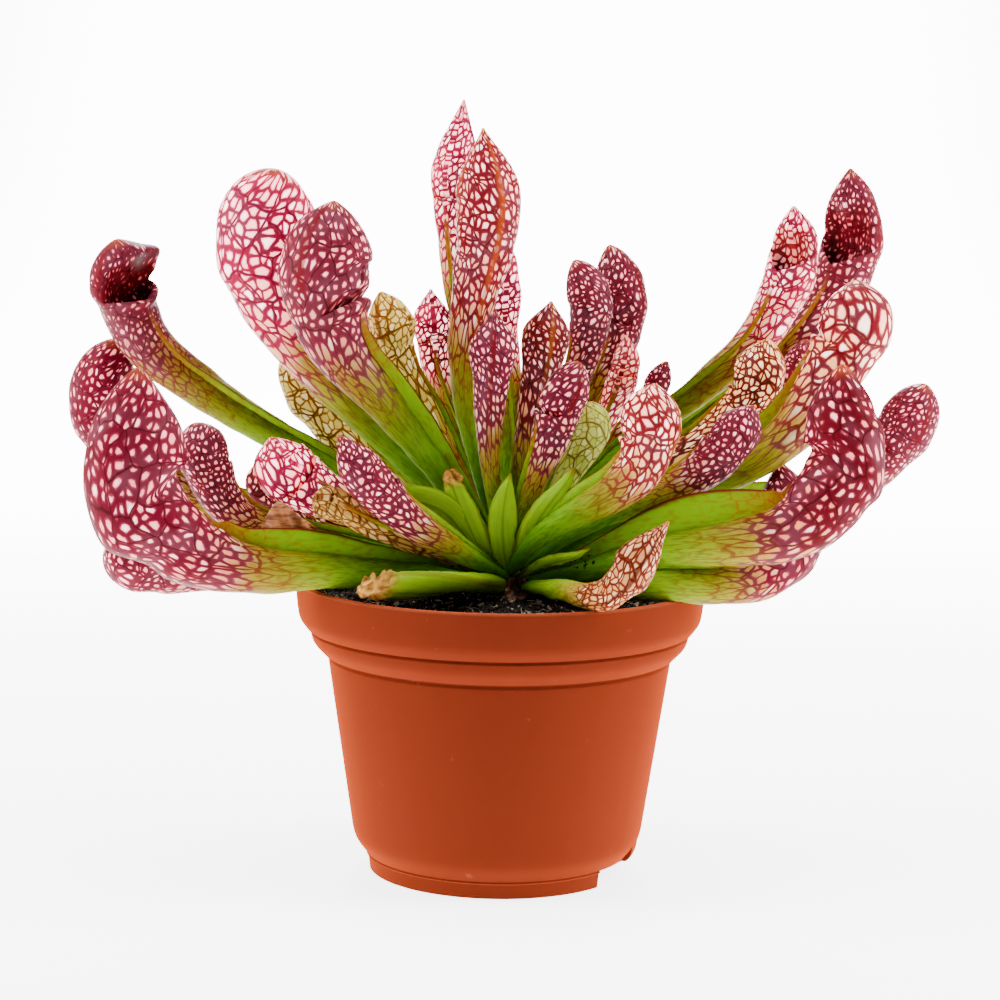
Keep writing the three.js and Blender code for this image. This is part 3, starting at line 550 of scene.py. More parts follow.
tilts = np.radians(np.linspace(-CROWN_END, CROWN_END, CROWN_RINGS))
angles = 2 * math.pi * np.arange(CROWN_SIDES) / CROWN_SIDES
tilt, turn = np.meshgrid(tilts, angles, indexing="ij")
scales = 1 + 0.05 * np.cos(9 * turn + 6 * tilt) + 0.035 * np.sin(17 * turn - 14 * tilt)
scales = scales + 0.03 * np.cos(23 * tilt)
tall = np.where(tilt > 0, CROWN_RISE, CROWN_DEPTH)
x = CROWN_MIDDLE[0] + CROWN_ACROSS * scales * np.cos(tilt) * np.cos(turn)
y = CROWN_MIDDLE[1] + CROWN_ALONG * scales * np.cos(tilt) * np.sin(turn)
z = CROWN_MIDDLE[2] + tall * np.sin(tilt)
points = np.stack([x, y, z], -1).reshape(-1, 3).tolist()
last = len(points) - CROWN_SIDES
faces = ring_faces(0, last, CROWN_SIDES)
faces += [tuple(range(CROWN_SIDES - 1, -1, -1)), tuple(range(last, len(points)))]
rhizome = put_mesh("rhizome_bark", points, faces, crown_bark)
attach(rhizome, "root")
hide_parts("rhizome")

# The skin of the living pitchers: glossy and a little soft, a net of veins round pale see-through windows on
# the hood and throat, thinning down the tube to plain green. One material is made for each leaf tone; the
# pattern follows the leaf's own skin, measured in millimetres along it and round it.
BEND_SIZE = 4.545
WOBBLE_SIZE = 0.7692
TINT_SIZE = 11.11
LINE_WIDTH = 0.9091
LINE_STRETCH = 0.05
MAIN_CELLS = 2.6
HAIR_CELLS = 2.3
THINNEST_WINDOW = 0.035


def layered(tree, colour, rows):
    """Lays colours over one another. A row gives a value, the two levels of it between which the colour comes
    in, how much of the colour then shows, and the colour."""
    for value, low, high, most, over in rows:
        share = add(tree, "MapRange", value, low, high, 0, most, **SOFT)
        colour = add(tree, "Mix", share, colour, over, **COLOURS)
    return colour


def net_skin(name, net, vein, window, low_window, cell=3.0, opening=0.16, spread=0.1, rounding=0.3, start=0.6,
             full=0.4, foot="#2A5802", shaft="#5E8A02", heel="#80661A", low_net="#5E2810", back="#8A3A14",
             inside="#1E0308", lining_and_shade="#D07880", blush="#C04C60", rib="#5A0A14", painted_sheen="#6C3442",
             bright="#FFE2DC", gloss=0.38, glow=2.0):
    """The skin of one leaf tone. The net is drawn with cells of the given size in millimetres; a larger
    opening number makes smaller windows, rounding makes them rounder; the net starts at a share of the
    tube's length. Windows redden to blush at their edges and give off a painted glow, as strong as glow,
    for the light that shines through them. The lining colour tints the inside of the hood and darkens it,
    partly its own colour and partly painted shade, and the inside colour is painted shade deepest in the
    mouth. The sheen colour is a painted sheen laid over the net in places."""
    material, tree = new_material(name)
    skin = add(tree, "Attribute", attribute_name="skin", output="Vector")
    rise, wing, mouth, turn, fold = (add(tree, "Attribute", attribute_name=label, output="Fac")
                                     for label in ("rise", "wing", "inside", "turn", "keel"))

    # Where the skin is read from, pushed about a little so that no vein is straight.
    push = add(tree, "TexNoise", Vector=skin, Scale=1 / BEND_SIZE, Detail=1, output="Color")
    push = add(tree, "VectorMath", push, (0.5, 0.5, 0.5), operation="SUBTRACT")
    push = add(tree, "VectorMath", push, 0.9 * cell, operation="SCALE")
    spot = add(tree, "VectorMath", skin, push, operation="ADD")
    main_spot = add(tree, "VectorMath", spot, (1, 1, 0.6), operation="MULTIPLY")
    wobble = add(tree, "TexNoise", Vector=spot, Scale=1 / WOBBLE_SIZE, Detail=1)
    tint = add(tree, "TexNoise", Vector=spot, Scale=1 / TINT_SIZE, Detail=1)

    # The fine net with hair veins in its windows, and the main veins that run up the leaf.
    flat_net = {"voronoi_dimensions": "2D", "feature": "DISTANCE_TO_EDGE"}
    fine = add(tree, "TexVoronoi", Vector=spot, Scale=1 / cell, Randomness=0.85, **flat_net)
    hairs = add(tree, "TexVoronoi", Vector=spot, Scale=HAIR_CELLS / cell, Randomness=1, **flat_net)
    main = add(tree, "TexVoronoi", Vector=main_spot, Scale=1 / (MAIN_CELLS * cell), Randomness=0.8,
               **flat_net)
    middle = add(tree, "TexVoronoi", Vector=spot, Scale=1 / cell, Randomness=0.85, voronoi_dimensions="2D",
                 feature="F1")
    chance = add(tree, "SeparateColor", middle.node.outputs["Color"]).node.outputs

    # The net comes in over a share of the leaf, sooner and later by turns. Its windows are rounded off, and
    # each has its own width of vein round it.
    grown = add(tree, "Math", tint, 0.3, add(tree, "Math", rise, 0.15, operation="SUBTRACT"),
                operation="MULTIPLY_ADD")
    grown = add(tree, "MapRange", grown, start, start + full, **SOFT)
    rounder = add(tree, "Math", middle, -0.5, 0.31, operation="MULTIPLY_ADD")
    rounder = add(tree, "Math", rounder, fine, operation="SUBTRACT")
    rounder = add(tree, "Math", rounder, rounding, operation="MULTIPLY")
    fine = add(tree, "Math", rounder, grown, fine, operation="MULTIPLY_ADD")
    edge = add(tree, "Math", wobble, 0.5, operation="SUBTRACT")
    edge = add(tree, "Math", edge, 0.11, fine, operation="MULTIPLY_ADD")
    width = add(tree, "Math", chance[0], spread, opening - spread / 2, operation="MULTIPLY_ADD")
    width = add(tree, "Math", width, THINNEST_WINDOW, operation="SUBTRACT")
    width = add(tree, "Math", width, grown, THINNEST_WINDOW, operation="MULTIPLY_ADD")
    inward = add(tree, "Math", edge, width, operation="SUBTRACT")
    main_clear = add(tree, "MapRange", grown, 0, 1, 0.012, 0.045, **SOFT)
    main_clear = add(tree, "Math", main, main_clear, operation="SUBTRACT")

    # How much of each of these shows is the product of two fades.
    shares = []
    for pair in (
        ((inward, 0.0, 0.055, 0, 1), (main_clear, 0.0, 0.03, 0, 1)),
        ((hairs, 0.0, 0.07, 0.6, 0), (chance[2], 0.3, 0.7, 0, 1)),
        ((edge, 0.0, 0.07, 1, 0), (rise, 0.4, 0.8, 0, 0.6)),
        ((wing, 0.0, 0.3, 0, 1), (rise, 0.8, 1.0, 1, 0)),
        ((turn, 0.02, 0.05, 1, 0), (rise, start, 1.0, 0, 0.95)),
        ((fold, 0.2, 0.7, 0, 0.85), (mouth, 0.0, 0.3, 1, 0)),
        ((turn, 0.968, 0.982, 0, 1), (rise, 0.9, 1.0, 1, 0)),
    ):
        first, second = (add(tree, "MapRange", *row, **SOFT) for row in pair)
        shares.append(add(tree, "Math", first, second, operation="MULTIPLY"))
    window_share, hair, wing_net, winged_share, line_up, keel, seam = shares

    # Plain green low down, with fine lines along it, turning to gold and then to the net's colours.
    line_spot = add(tree, "VectorMath", skin, (1, 1, LINE_STRETCH), operation="MULTIPLY")
    lines = add(tree, "TexNoise", Vector=line_spot, Scale=1 / LINE_WIDTH, Detail=2)
    plain = layered(tree, foot, [(rise, 0.05, 0.45, 1, shaft)])
    line_colour = layered(tree, foot, [(rise, start - 0.2, start + 0.1, 1, low_net)])
    green = layered(tree, plain, [(rise, start - 0.2, start + 0.25, 1, heel),
                                  (lines, 0.42, 0.66, 0.55, line_colour)])

    # The windows: each paler or warmer by chance, crossed by hair veins and blushing to its edge.
    windows = layered(tree, low_window, [(rise, start + 0.25, start + 0.75, 1, window),
                                         (chance[1], 0.5, 0.0, 0.5, low_window),
                                         (chance[1], 0.5, 1.0, 0.7, bright)])
    windows = add(tree, "Mix", hair, windows, blush, **COLOURS)
    clear = add(tree, "MapRange", inward, 0.0, 0.16, 0.1, 1, **SOFT)
    windows = add(tree, "Mix", clear, blush, windows, **COLOURS)
    windows = layered(tree, green, [(grown, 0.25, 1.0, 1, windows)])

    # The veins: brown low down, with a painted sheen in places (a dull mauve for the soft gloss of the
    # lamps), reddened next to the windows, the main ones darkest.
    veins = layered(tree, low_net, [(grown, 0.0, 0.5, 1, net), (tint, 0.35, 0.65, 0.5, vein),
                                    (tint, 0.45, 0.7, 0.5, painted_sheen)])
    halo = add(tree, "MapRange", inward, -0.1, 0.02, **SOFT)
    halo = add(tree, "Math", add(tree, "Math", halo, grown, operation="MULTIPLY"), 0.3, operation="MULTIPLY")
    veins = add(tree, "Mix", halo, veins, blush, **COLOURS)
    main_colour = add(tree, "Mix", grown, low_net, vein, **COLOURS)
    main_share = add(tree, "MapRange", main, 0.0, 0.05, 1.0, 0.0, **SOFT)
    veins = add(tree, "Mix", main_share, veins, main_colour, **COLOURS)
    netted = add(tree, "Mix", window_share, veins, windows, **COLOURS)
    colour = layered(tree, green, [(rise, start - 0.25, start + 0.25, 1, netted)])

    # The wing is green with a red-brown edge; a dark line runs up the back; the mouth has painted shade
    # inside, darkest deep in its hollow.
    winged = layered(tree, plain, [(rise, 0.1, 0.5, 1, "#648E02"), (rise, 0.62, 0.92, 0.85, "#8A4A0C"),
                                   (lines, 0.5, 0.64, 0.35, "#6A2A0C")])
    winged = add(tree, "Mix", wing_net, winged, "#8A2C10", **COLOURS)
    winged = layered(tree, winged, [(wing, 0.86, 0.97, 1, "#5A1608")])
    # The keel lines down the hood's sides are partly its edge and partly painted shade where its outline
    # shows.
    for share, over in ((winged_share, winged), (line_up, rib), (keel, rib), (seam, winged)):
        colour = add(tree, "Mix", share, colour, over, **COLOURS)
    colour = layered(tree, colour, [(rise, 1.88, 2.0, 0.6, back)])
    # Painted shade inside the mouth: the lining colour tints and darkens the skin, and the inside colour
    # darkens it most deep in the hollow.
    shaded_lining = add(tree, "Mix", 1.0, colour, lining_and_shade, blend_type="MULTIPLY", **COLOURS)
    colour = layered(tree, colour, [(mouth, 0.0, 0.7, 1, shaded_lining), (mouth, 1.2, 2.0, 0.85, inside)])

    bump = add(tree, "Bump", Strength=0.5, Distance=0.2 * MM, Height=lines)
    rough = add(tree, "MapRange", wobble, 0.35, 0.65, gloss - 0.06, gloss + 0.08, **SOFT)
    # Painted glow: the windows give off light in their own colour for the light that shines through them. It
    # is painted down inside the mouth as shade, and left off the lines.
    glow_shaded_in_mouth = add(tree, "MapRange", mouth, 0.0, 0.9, glow, 0.15 * glow, **SOFT)
    lit = add(tree, "Math", window_share, grown, operation="MULTIPLY")
    lit = add(tree, "Math", lit, glow_shaded_in_mouth, operation="MULTIPLY")
    for line in (seam, keel, line_up, winged_share):
        lit = add(tree, "Math", lit, add(tree, "Math", 1.0, line, operation="SUBTRACT"), operation="MULTIPLY")
    add(tree, "OutputMaterial", add(tree, "BsdfPrincipled", Base_Color=colour, Roughness=rough, Normal=bump,
                                    Specular_IOR_Level=0.02, Emission_Color=windows, Emission_Strength=lit))
    # The painted glow of the windows only shows; they aren't searched for as lamps.
    material.cycles.emission_sampling = "NONE"
    return material


# Tones read off the leaves: net colour, main vein colour, windows high and low.
crimson = net_skin("crimson_net_skin", "#5A0A1E", "#38060E", "#F48890", "#C87850", cell=2.7, opening=0.202,
                   spread=0.12, rounding=0.5, glow=1.6)
ruby = net_skin("ruby_net_skin", "#540A16", "#34060A", "#F28884", "#C8802C", cell=2.8, opening=0.21,
                spread=0.13, rounding=0.5, back="#B04A10", glow=1.5)
rose = net_skin("rose_net_skin", "#940A34", "#5C0624", "#FF9EA8", "#D09070", cell=2.6, opening=0.13,
                spread=0.08, rounding=0.3, blush="#E05C78", lining_and_shade="#F0D0A0", bright="#FFF2F0", glow=4.0)
maroon = net_skin("maroon_net_skin", "#601A28", "#300A12", "#FF9098", "#B08060", cell=2.2, opening=0.195,
                  spread=0.12, rounding=0.55, inside="#2E0810", lining_and_shade="#F0B4B8", glow=1.6)
plum = net_skin("plum_net_skin", "#561624", "#340A1A", "#FF9A94", "#A88A48", cell=2.0, opening=0.19,
                spread=0.12, rounding=0.4, start=0.42, full=0.5, glow=1.4)
cream = net_skin("cream_net_skin", "#740C1A", "#4C0814", "#FFA89C", "#C08A48", cell=2.6, opening=0.145,
                 spread=0.08, rounding=0.3, back="#A8520E", blush="#D87C68", rib="#8A3A0A",
                 bright="#FFF6EC", glow=3.0)
golden = net_skin("golden_net_skin", "#7C480E", "#64380A", "#D0B860", "#968A20", cell=2.2, opening=0.05,
                  spread=0.04, rounding=0.15, start=0.3, back="#74400A", lining_and_shade="#D09060", blush="#A8882C",
                  bright="#F0E0A8", rib="#6A3A0A", painted_sheen="#84581A", glow=0.7)
amber = net_skin("amber_net_skin", "#6C1A16", "#44100A", "#F8C080", "#B88A40", cell=2.1, opening=0.13,
                 spread=0.08, rounding=0.3, start=0.4, back="#A8620E", blush="#C87848", rib="#9A6210",
                 bright="#FFF0CC", glow=1.8)
bronze = net_skin("bronze_net_skin", "#5E1814", "#3A0A08", "#F8A88C", "#A87A40", cell=2.0, opening=0.18,
                  spread=0.1, rounding=0.4, start=0.4, back="#9A5A1C", rib="#7A3A10", glow=1.2)
coral = net_skin("coral_net_skin", "#A83240", "#6C0C22", "#FFA090", "#D88A48", cell=1.9, opening=0.12,
                 spread=0.08, start=0.35, back="#B05A1C", blush="#E07068", rib="#9A3A1C", glow=1.4)
faded = net_skin("faded_net_skin", "#78762A", "#5C4C14", "#A8B450", "#90A01C", cell=1.9, opening=0.035,
                 spread=0.03, rounding=0.1, start=0.15, back="#8A3A14", blush="#96983C", rib="#6A6A1C",
                 bright="#C8CC80", painted_sheen="#7C8030", glow=0.25)
dry = net_skin("dry_pitcher_skin", "#5E3614", "#3C1C08", "#C89A48", "#A4762C", cell=1.8, opening=0.08,
               spread=0.08, start=0.0, foot="#6A6818", shaft="#8A7424", heel="#9A7630", back="#4A2A10",
               inside="#180A04", lining_and_shade="#C0A080", blush="#9A6A30", painted_sheen="#6A4420", bright="#C8A070",
               rib="#0E0806", gloss=0.62, glow=0)
rusty = net_skin("rusty_dried_skin", "#4A1008", "#3E0A04", "#C08460", "#A07030", cell=2.0, opening=0.1,
                 spread=0.06, rounding=0.15, start=0.62, full=0.3, foot="#3E6402", shaft="#6E8A0C",
                 heel="#A08430", low_net="#6A2A10", back="#B86A24", lining_and_shade="#D0A080", blush="#9A5030",
                 painted_sheen="#5E2010", bright="#E8BE98", rib="#380A04", gloss=0.5, glow=0.3)
brick = net_skin("brick_net_skin", "#6A0E1A", "#46080E", "#FF9C9C", "#B87850", cell=2.4, opening=0.165,
                 spread=0.1, rounding=0.3, start=0.5, low_net="#6A1E10", back="#A8520E", blush="#C85C5C",
                 rib="#8A2E0A", bright="#FFE8E4", glow=2.4)
dusky = net_skin("dusky_net_skin", "#601A28", "#300A12", "#FF9098", "#A07058", cell=2.2, opening=0.25,
                 spread=0.14, rounding=0.55, start=0.68, heel="#7A5A1C", bright="#F8B8B0", glow=1.5)

# The pitcher leaves. Each grows from the rhizome along its own line: a stalk-like tube that widens to the
# throat, a thin wing along its inner side, a folded-in mouth with a lip, and an inflated, pointed hood.
LARGE_HOOD = 7.2
LARGE_SIDES = 66
SMALL_SIDES = 46
LARGE_STEP = 2.2
SMALL_STEP = 3
CURVE_STEPS = 80
AXIS_REACH = 0.7
TWIST_END = 0.8
WING_ROOT = 0.8
WING_EDGE = 0.4
WING_SHARES = (0.12, 0.4, 0.8, 1, 0.8, 0.4, 0.12)
WING_SIDES = (1, 1, 1, 0, -1, -1, -1)
CREST_HEIGHT = 0.35
CREST_TURN = 0.075
LOBE_TURN = 1.5
SWELL_WAVES = 7
SKIN_APART = 400
# Rings close together below the mouth and through it, as shares of the way from the throat to the tip.
MOUTH_EDGE = (-0.3, -0.25, -0.2, -0.15, -0.11, -0.08, -0.055, -0.035, -0.02, -0.01, 0)
MOUTH_FOLD = (0.006, 0.012, 0.02, 0.03, 0.042, 0.055, 0.07, 0.085, 0.1, 0.115, 0.13, 0.143, 0.155, 0.167,
              0.18, 0.2, 0.23, 0.26)


def seen(x, height, behind):
    """A point seen at x and height on the plane of the pot's middle, standing behind that plane."""
    k = 1 - behind / EYE[1]
    return (x * k, behind, EYE[2] - (EYE[2] - height) * k)


def smooth(x):
    """Runs smoothly from 0 to 1."""
    t = np.clip(x, 0, 1)
    return t * t * (3 - 2 * t)


def along(pairs, x):
    """Values at x of a smooth curve through (x, value) pairs, level where its neighbours turn."""
    places, values = np.array(pairs, float).T
    steps = np.diff(values) / np.diff(places)
    slopes = np.concatenate([steps[:1], np.zeros(len(places) - 2), steps[-1:]])
    for k in range(1, len(places) - 1):
        if steps[k - 1] * steps[k] > 0:
            slopes[k] = 2 * steps[k - 1] * steps[k] / (steps[k - 1] + steps[k])
    x = np.asarray(x, float)
    i = np.clip(np.searchsorted(places, x, side="right") - 1, 0, len(places) - 2)
    width = places[i + 1] - places[i]
    t = np.clip((x - places[i]) / width, 0, 1)
    start = values[i] * (1 + 2 * t) + slopes[i] * width * t
    end = values[i + 1] * (3 - 2 * t) + slopes[i + 1] * width * (t - 1)
    return start * (1 - t) ** 2 + end * t * t


def unit(v):
    """Each vector made one long."""
    return v / np.linalg.norm(v, axis=-1, keepdims=True)


def middle_line(way, mouth=None, faces=None):
    """A leaf's middle line: its length, how far along the mouth is, and a function that gives the point,
    direction, inner side and cross direction at places along it."""
    points = np.array([seen(*place) for place in way])
    padded = np.vstack([2 * points[0] - points[1], points, 2 * points[-1] - points[-2]])
    u = np.linspace(0, 1, CURVE_STEPS, endpoint=False)[:, None]
    pieces = []
    for i in range(len(points) - 1):
        p0, p1, p2, p3 = padded[i:i + 4]
        d0, d1, d2 = (np.linalg.norm(b - a) ** 0.5 for a, b in ((p0, p1), (p1, p2), (p2, p3)))
        m1 = ((p1 - p0) / d0 - (p2 - p0) / (d0 + d1) + (p2 - p1) / d1) * d1
        m2 = ((p2 - p1) / d1 - (p3 - p1) / (d1 + d2) + (p3 - p2) / d2) * d1
        bend = p1 + m1 * u + (3 * (p2 - p1) - 2 * m1 - m2) * u ** 2
        pieces.append(bend + (2 * (p1 - p2) + m1 + m2) * u ** 3)
    fine = np.vstack(pieces + [points[-1:]])
    lengths = np.concatenate([[0], np.cumsum(np.linalg.norm(np.diff(fine, axis=0), axis=1))])
    length = lengths[-1]
    tube = lengths[mouth * CURVE_STEPS] if mouth else length
    outward = (points[mouth] if mouth else points[-1]) - points[0]
    outward = unit(outward * (1, 1, 0))

    def at(s):
        return np.stack([np.interp(s, lengths, fine[:, k]) for k in range(3)], -1)

    def level(v, axis):
        return unit(v - axis * np.sum(v * axis, -1, keepdims=True))

    def frame_at(s):
        s = np.asarray(s, float)
        axis = unit(at(np.minimum(s + AXIS_REACH, length)) - at(np.maximum(s - AXIS_REACH, 0)))
        inner = level(-axis[:, 2:] * outward + np.sum(axis * outward, -1, keepdims=True) * (0, 0, 1), axis)
        if faces:
            share = smooth(s / (TWIST_END * tube))[:, None]
            looks = level(np.broadcast_to(np.array(faces, float), axis.shape), axis)
            inner = level(inner * (1 - share) + looks * share, axis)
        return at(s), axis, inner, np.cross(inner, axis)

    return length, tube, frame_at


def leaf_mesh(name, rings, values, ends, material):
    """A closed leaf skin over rings of points, with the values its material reads stored on the points."""
    count, sides = rings.shape[:2]
    points = np.vstack([rings.reshape(-1, 3), ends])
    i, j = np.meshgrid(np.arange(count - 1), np.arange(sides), indexing="ij")
    k = (j + 1) % sides
    quads = np.stack([i * sides + j, i * sides + k, (i + 1) * sides + k, (i + 1) * sides + j], -1)
    j = np.arange(sides)
    k = (j + 1) % sides
    foot, tip = count * sides, count * sides + 1
    caps = [(foot, int(b), int(a)) for a, b in zip(j, k)]
    last = (count - 1) * sides
    caps += [(tip, int(last + a), int(last + b)) for a, b in zip(j, k)]
    faces = [tuple(map(int, quad)) for quad in quads.reshape(-1, 4)] + caps
    made = put_mesh(name, points, faces, material, closed=True)
    for label, value in values.items():
        kind = "FLOAT_VECTOR" if value.ndim == 3 else "FLOAT"
        flat = value.reshape(count * sides, -1)
        flat = np.vstack([flat, flat[:1], flat[-1:]])
        stored = made.data.attributes.new(label, kind, "POINT")
        stored.data.foreach_set("vector" if value.ndim == 3 else "value", flat.ravel().astype(np.float32))
    corner_points = np.zeros(len(made.data.loops), int)
    made.data.loops.foreach_get("vertex_index", corner_points)
    ring = np.minimum(corner_points // sides, count - 1)
    flat_map = np.stack([(corner_points % sides) / sides, ring / (count - 1)], -1)
    made.data.uv_layers.new(name="along_leaf").data.foreach_set("uv", flat_map.ravel().astype(np.float32))
    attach(made, "root")
    return made


def grow_pitcher(name, material, way, mouth, hood, throat, stalk, wing, faces=None, gape=1.0, depth=0.3,
                 cheek=2.1, lip=0.3, brow=0.0, chin=0.0, slant=0.0, bowl=0.0, dome=0.0, lobes=0.0,
                 lumps=0.22, net=1.0, extra=False):
    """One pitcher leaf. Sizes are half sizes in millimetres: across the leaf, then from front to back. The
    mouth is higher with gape, goes in by depth, is as wide as cheek is small, has a lip, brow and chin that
    stand out, and its lip rises by slant to its corners; bowl is how far up the hood stays hollow. The
    hood's top is rounder with dome, and net is the size of its windows."""
    length, tube, frame_at = middle_line(way, mouth, faces)
    cap = length - tube
    draw = np.random.RandomState(sum(map(ord, name)))
    large = hood[1] > LARGE_HOOD
    sides = LARGE_SIDES if large else SMALL_SIDES

    # Places along the leaf: wide steps up the stalk, close ones round the mouth, even ones over the hood.
    low_count = max(14, int(tube / (LARGE_STEP if large else SMALL_STEP)))
    low = np.linspace(0, tube + MOUTH_EDGE[0] * cap, low_count)[:-1]
    fold = np.array(MOUTH_FOLD) * gape
    high = np.linspace(fold[-1], 1, 35 if large else 25)[1:-1]
    near_tip = [1 - 0.4 * (1 - high[-1]), 0.996]
    s = np.concatenate([low, tube + cap * np.concatenate([MOUTH_EDGE, fold, high, near_tip])])

    # Round the leaf from one root of the wing over the back to the other, closer together near the mouth.
    u = np.linspace(-1, 1, sides)
    throat_root = math.pi - math.asin(WING_ROOT / max(throat[0], 2))
    turn = (throat_root * (1.22 * u - 0.22 * u ** 3))[None, :]
    corner = np.clip((math.pi - np.abs(turn)) / 1.5, 0, 1.2) ** 1.15
    h = ((s - tube) / cap)[:, None]
    rising = smooth((h + 0.5) / 0.45) * smooth((0.97 - h) / 0.67)
    shift = slant * corner * rising
    place = s[:, None] + shift * cap

    # How far the skin is drawn in towards the back, and slid down into the tube, round the mouth.
    g = gape
    if bowl:
        top = 0.09 * g + bowl
        drawn_in = [(0.09 * g, 0.9), (0.09 * g + 0.25 * bowl, 1.1), (0.09 * g + 0.6 * bowl, 0.6), (top, 0)]
        slid_in = [(0.09 * g, -0.3), (0.09 * g + 0.25 * bowl, -0.12), (0.09 * g + 0.6 * bowl, -0.02),
                   (top, 0)]
    else:
        drawn_in = [(0.09 * g, 0.86), (0.13 * g, 0.5), (0.16 * g, 0), (0.19 * g, -0.8 * brow),
                    (0.26 * g, -brow), (0.26 * g + 0.3, 0)]
        slid_in = [(0.09 * g, -0.38), (0.13 * g, -0.2), (0.16 * g, -0.06), (0.19 * g, -0.05), (0.3 * g, 0)]
    drawn_in = [(-9, 0), (-0.3, 0), (-0.1, -0.04 * lip), (-0.02, -0.22 * lip), (0, -0.14 * lip),
                (0.015 * g, 0), (0.05 * g, 0.62)] + drawn_in + [(9, 0)]
    slid_in = [(-9, 0), (-0.1, 0), (-0.02, 0.03), (0, 0.04), (0.015 * g, 0.02), (0.05 * g, -0.22)] + slid_in
    slid_in += [(9, 0)]

    def mouth_at(over):
        found = along(drawn_in, over)
        return np.where(found > 0, depth, 1) * found, along(slid_in, over) * cap * min(depth, 1)

    # The mouth's height shrinks towards its corners, so that its upper edge is an arch.
    sideways = np.clip((math.pi - np.abs(turn)) / (math.pi - cheek), 0, 1)
    arch = 0.22 + 0.78 * np.sqrt(1 - sideways ** 2)
    weight = smooth((np.abs(turn) - cheek) / (0.62 * (math.pi - cheek)))
    pulled, slid = (value * weight for value in mouth_at(np.where(h > 0, h / arch, h)))
    pull, slide = mouth_at(h)

    # Half sizes at each place, first across and then from front to back.
    def sizes(at):
        share, over = at / tube, (at - tube) / cap
        closing = np.clip((over - 0.34) / 0.66, 0, 1)
        found = []
        for k, (foot, heel) in enumerate(((0.8, 0.85), (0.55, 0.7))):
            below = along([(0, stalk * foot), (0.12, stalk * heel), (0.45, stalk + 0.1 * (throat[k] - stalk)),
                           (0.8, stalk + 0.62 * (throat[k] - stalk)), (1, throat[k])], share)
            above = along([(0, throat[k]), (0.38, hood[k]), (9, hood[k])], over)
            above = above * np.maximum(1 - closing ** (2.4 + 0.9 * min(dome, 0)), 0) ** (1 - 0.45 * dome)
            above = above + 0.35 * closing
            found.append(np.where(at <= tube, below, above))
        return found

    across, deep = sizes(place)
    line_across, line_deep = sizes(s[:, None])
    root = np.minimum(WING_ROOT, 0.3 * line_across)
    fin = along([(0, 0.15), (0.3, 0.5), (0.6, 1), (0.84, 0.5), (0.97, 0.1), (1, 0)], s / tube)
    fin = np.where(s <= tube, wing * fin, 0)[:, None]
    fin = fin * np.where(pull > 0, 0, 1) + 0.01

    # A little unevenness, a crest down the back and, on some, a lobe each side of the hood.
    waves = np.zeros_like(place)
    for _ in range(SWELL_WAVES):
        round_count, up = draw.randint(1, 6), 2 * math.pi / draw.uniform(9, 34)
        waves += np.sin(round_count * turn + up * place + draw.uniform(0, 6.28)) / 2.6
    steady = smooth(place / 12) * smooth((1.02 - h) / 0.12)
    swell = lumps * waves * steady * (0.5 + 0.5 * deep / max(hood))
    crest = CREST_HEIGHT * np.exp(-(turn / CREST_TURN) ** 2) * smooth((place / tube - 0.5) / 0.4)
    lobe = np.exp(-((np.abs(turn) - LOBE_TURN) / 0.6) ** 2 - ((h - 0.5) / 0.25) ** 2)
    lobe = np.where(turn * lobes > 0, abs(lobes), 0) * lobe
    grown = swell + crest + lobe
    x = np.sin(turn) * ((across + grown) * (1 - 0.2 * np.maximum(0, pulled)))
    y = -np.cos(turn) * ((deep + grown) * (1 - pulled))
    y = y + chin * np.exp(-((h + 0.05) / 0.3) ** 2) * smooth((np.abs(turn) - 1.5) / 1.3)
    z = shift * cap + slid

    # The wing: a thin fin, wavy at its edge.
    share = np.array(WING_SHARES)[None, :]
    side_of = np.array(WING_SIDES)[None, :]
    thin = np.minimum(WING_EDGE, 0.15 * line_across)
    fin_x = side_of * (thin + (root - thin) * (1 - share) ** 2)
    wave = draw.uniform(0.5, 0.9) * fin * share
    wave = wave * np.sin(s[:, None] / draw.uniform(6, 9) + draw.uniform(0, 6)) * 0.16
    fin_y = (y[:, :1] + y[:, -1:]) / 2 + fin * share
    x = np.hstack([x, fin_x + wave])
    y = np.hstack([y, fin_y])
    z = np.hstack([z, np.broadcast_to(slide, fin_y.shape)])

    # Round the mouth the rings all lie square to the throat, so that its folds stay clear of each other.
    place = np.hstack([place, np.broadcast_to(s[:, None], fin_y.shape)])
    beyond = place - tube
    own = np.where(beyond < 0, smooth((-beyond - 0.08 * cap) / (0.27 * cap)),
                   smooth((beyond - 0.2 * max(gape, bowl) * cap) / (0.3 * cap)))
    line_place = tube + beyond * own
    point, axis, inner, side = (v.reshape(place.shape + (3,)) for v in frame_at(line_place.ravel()))
    z_from_line = place - line_place + z - (place - s[:, None])
    rings = point + side * x[..., None] + inner * y[..., None] + axis * z_from_line[..., None]

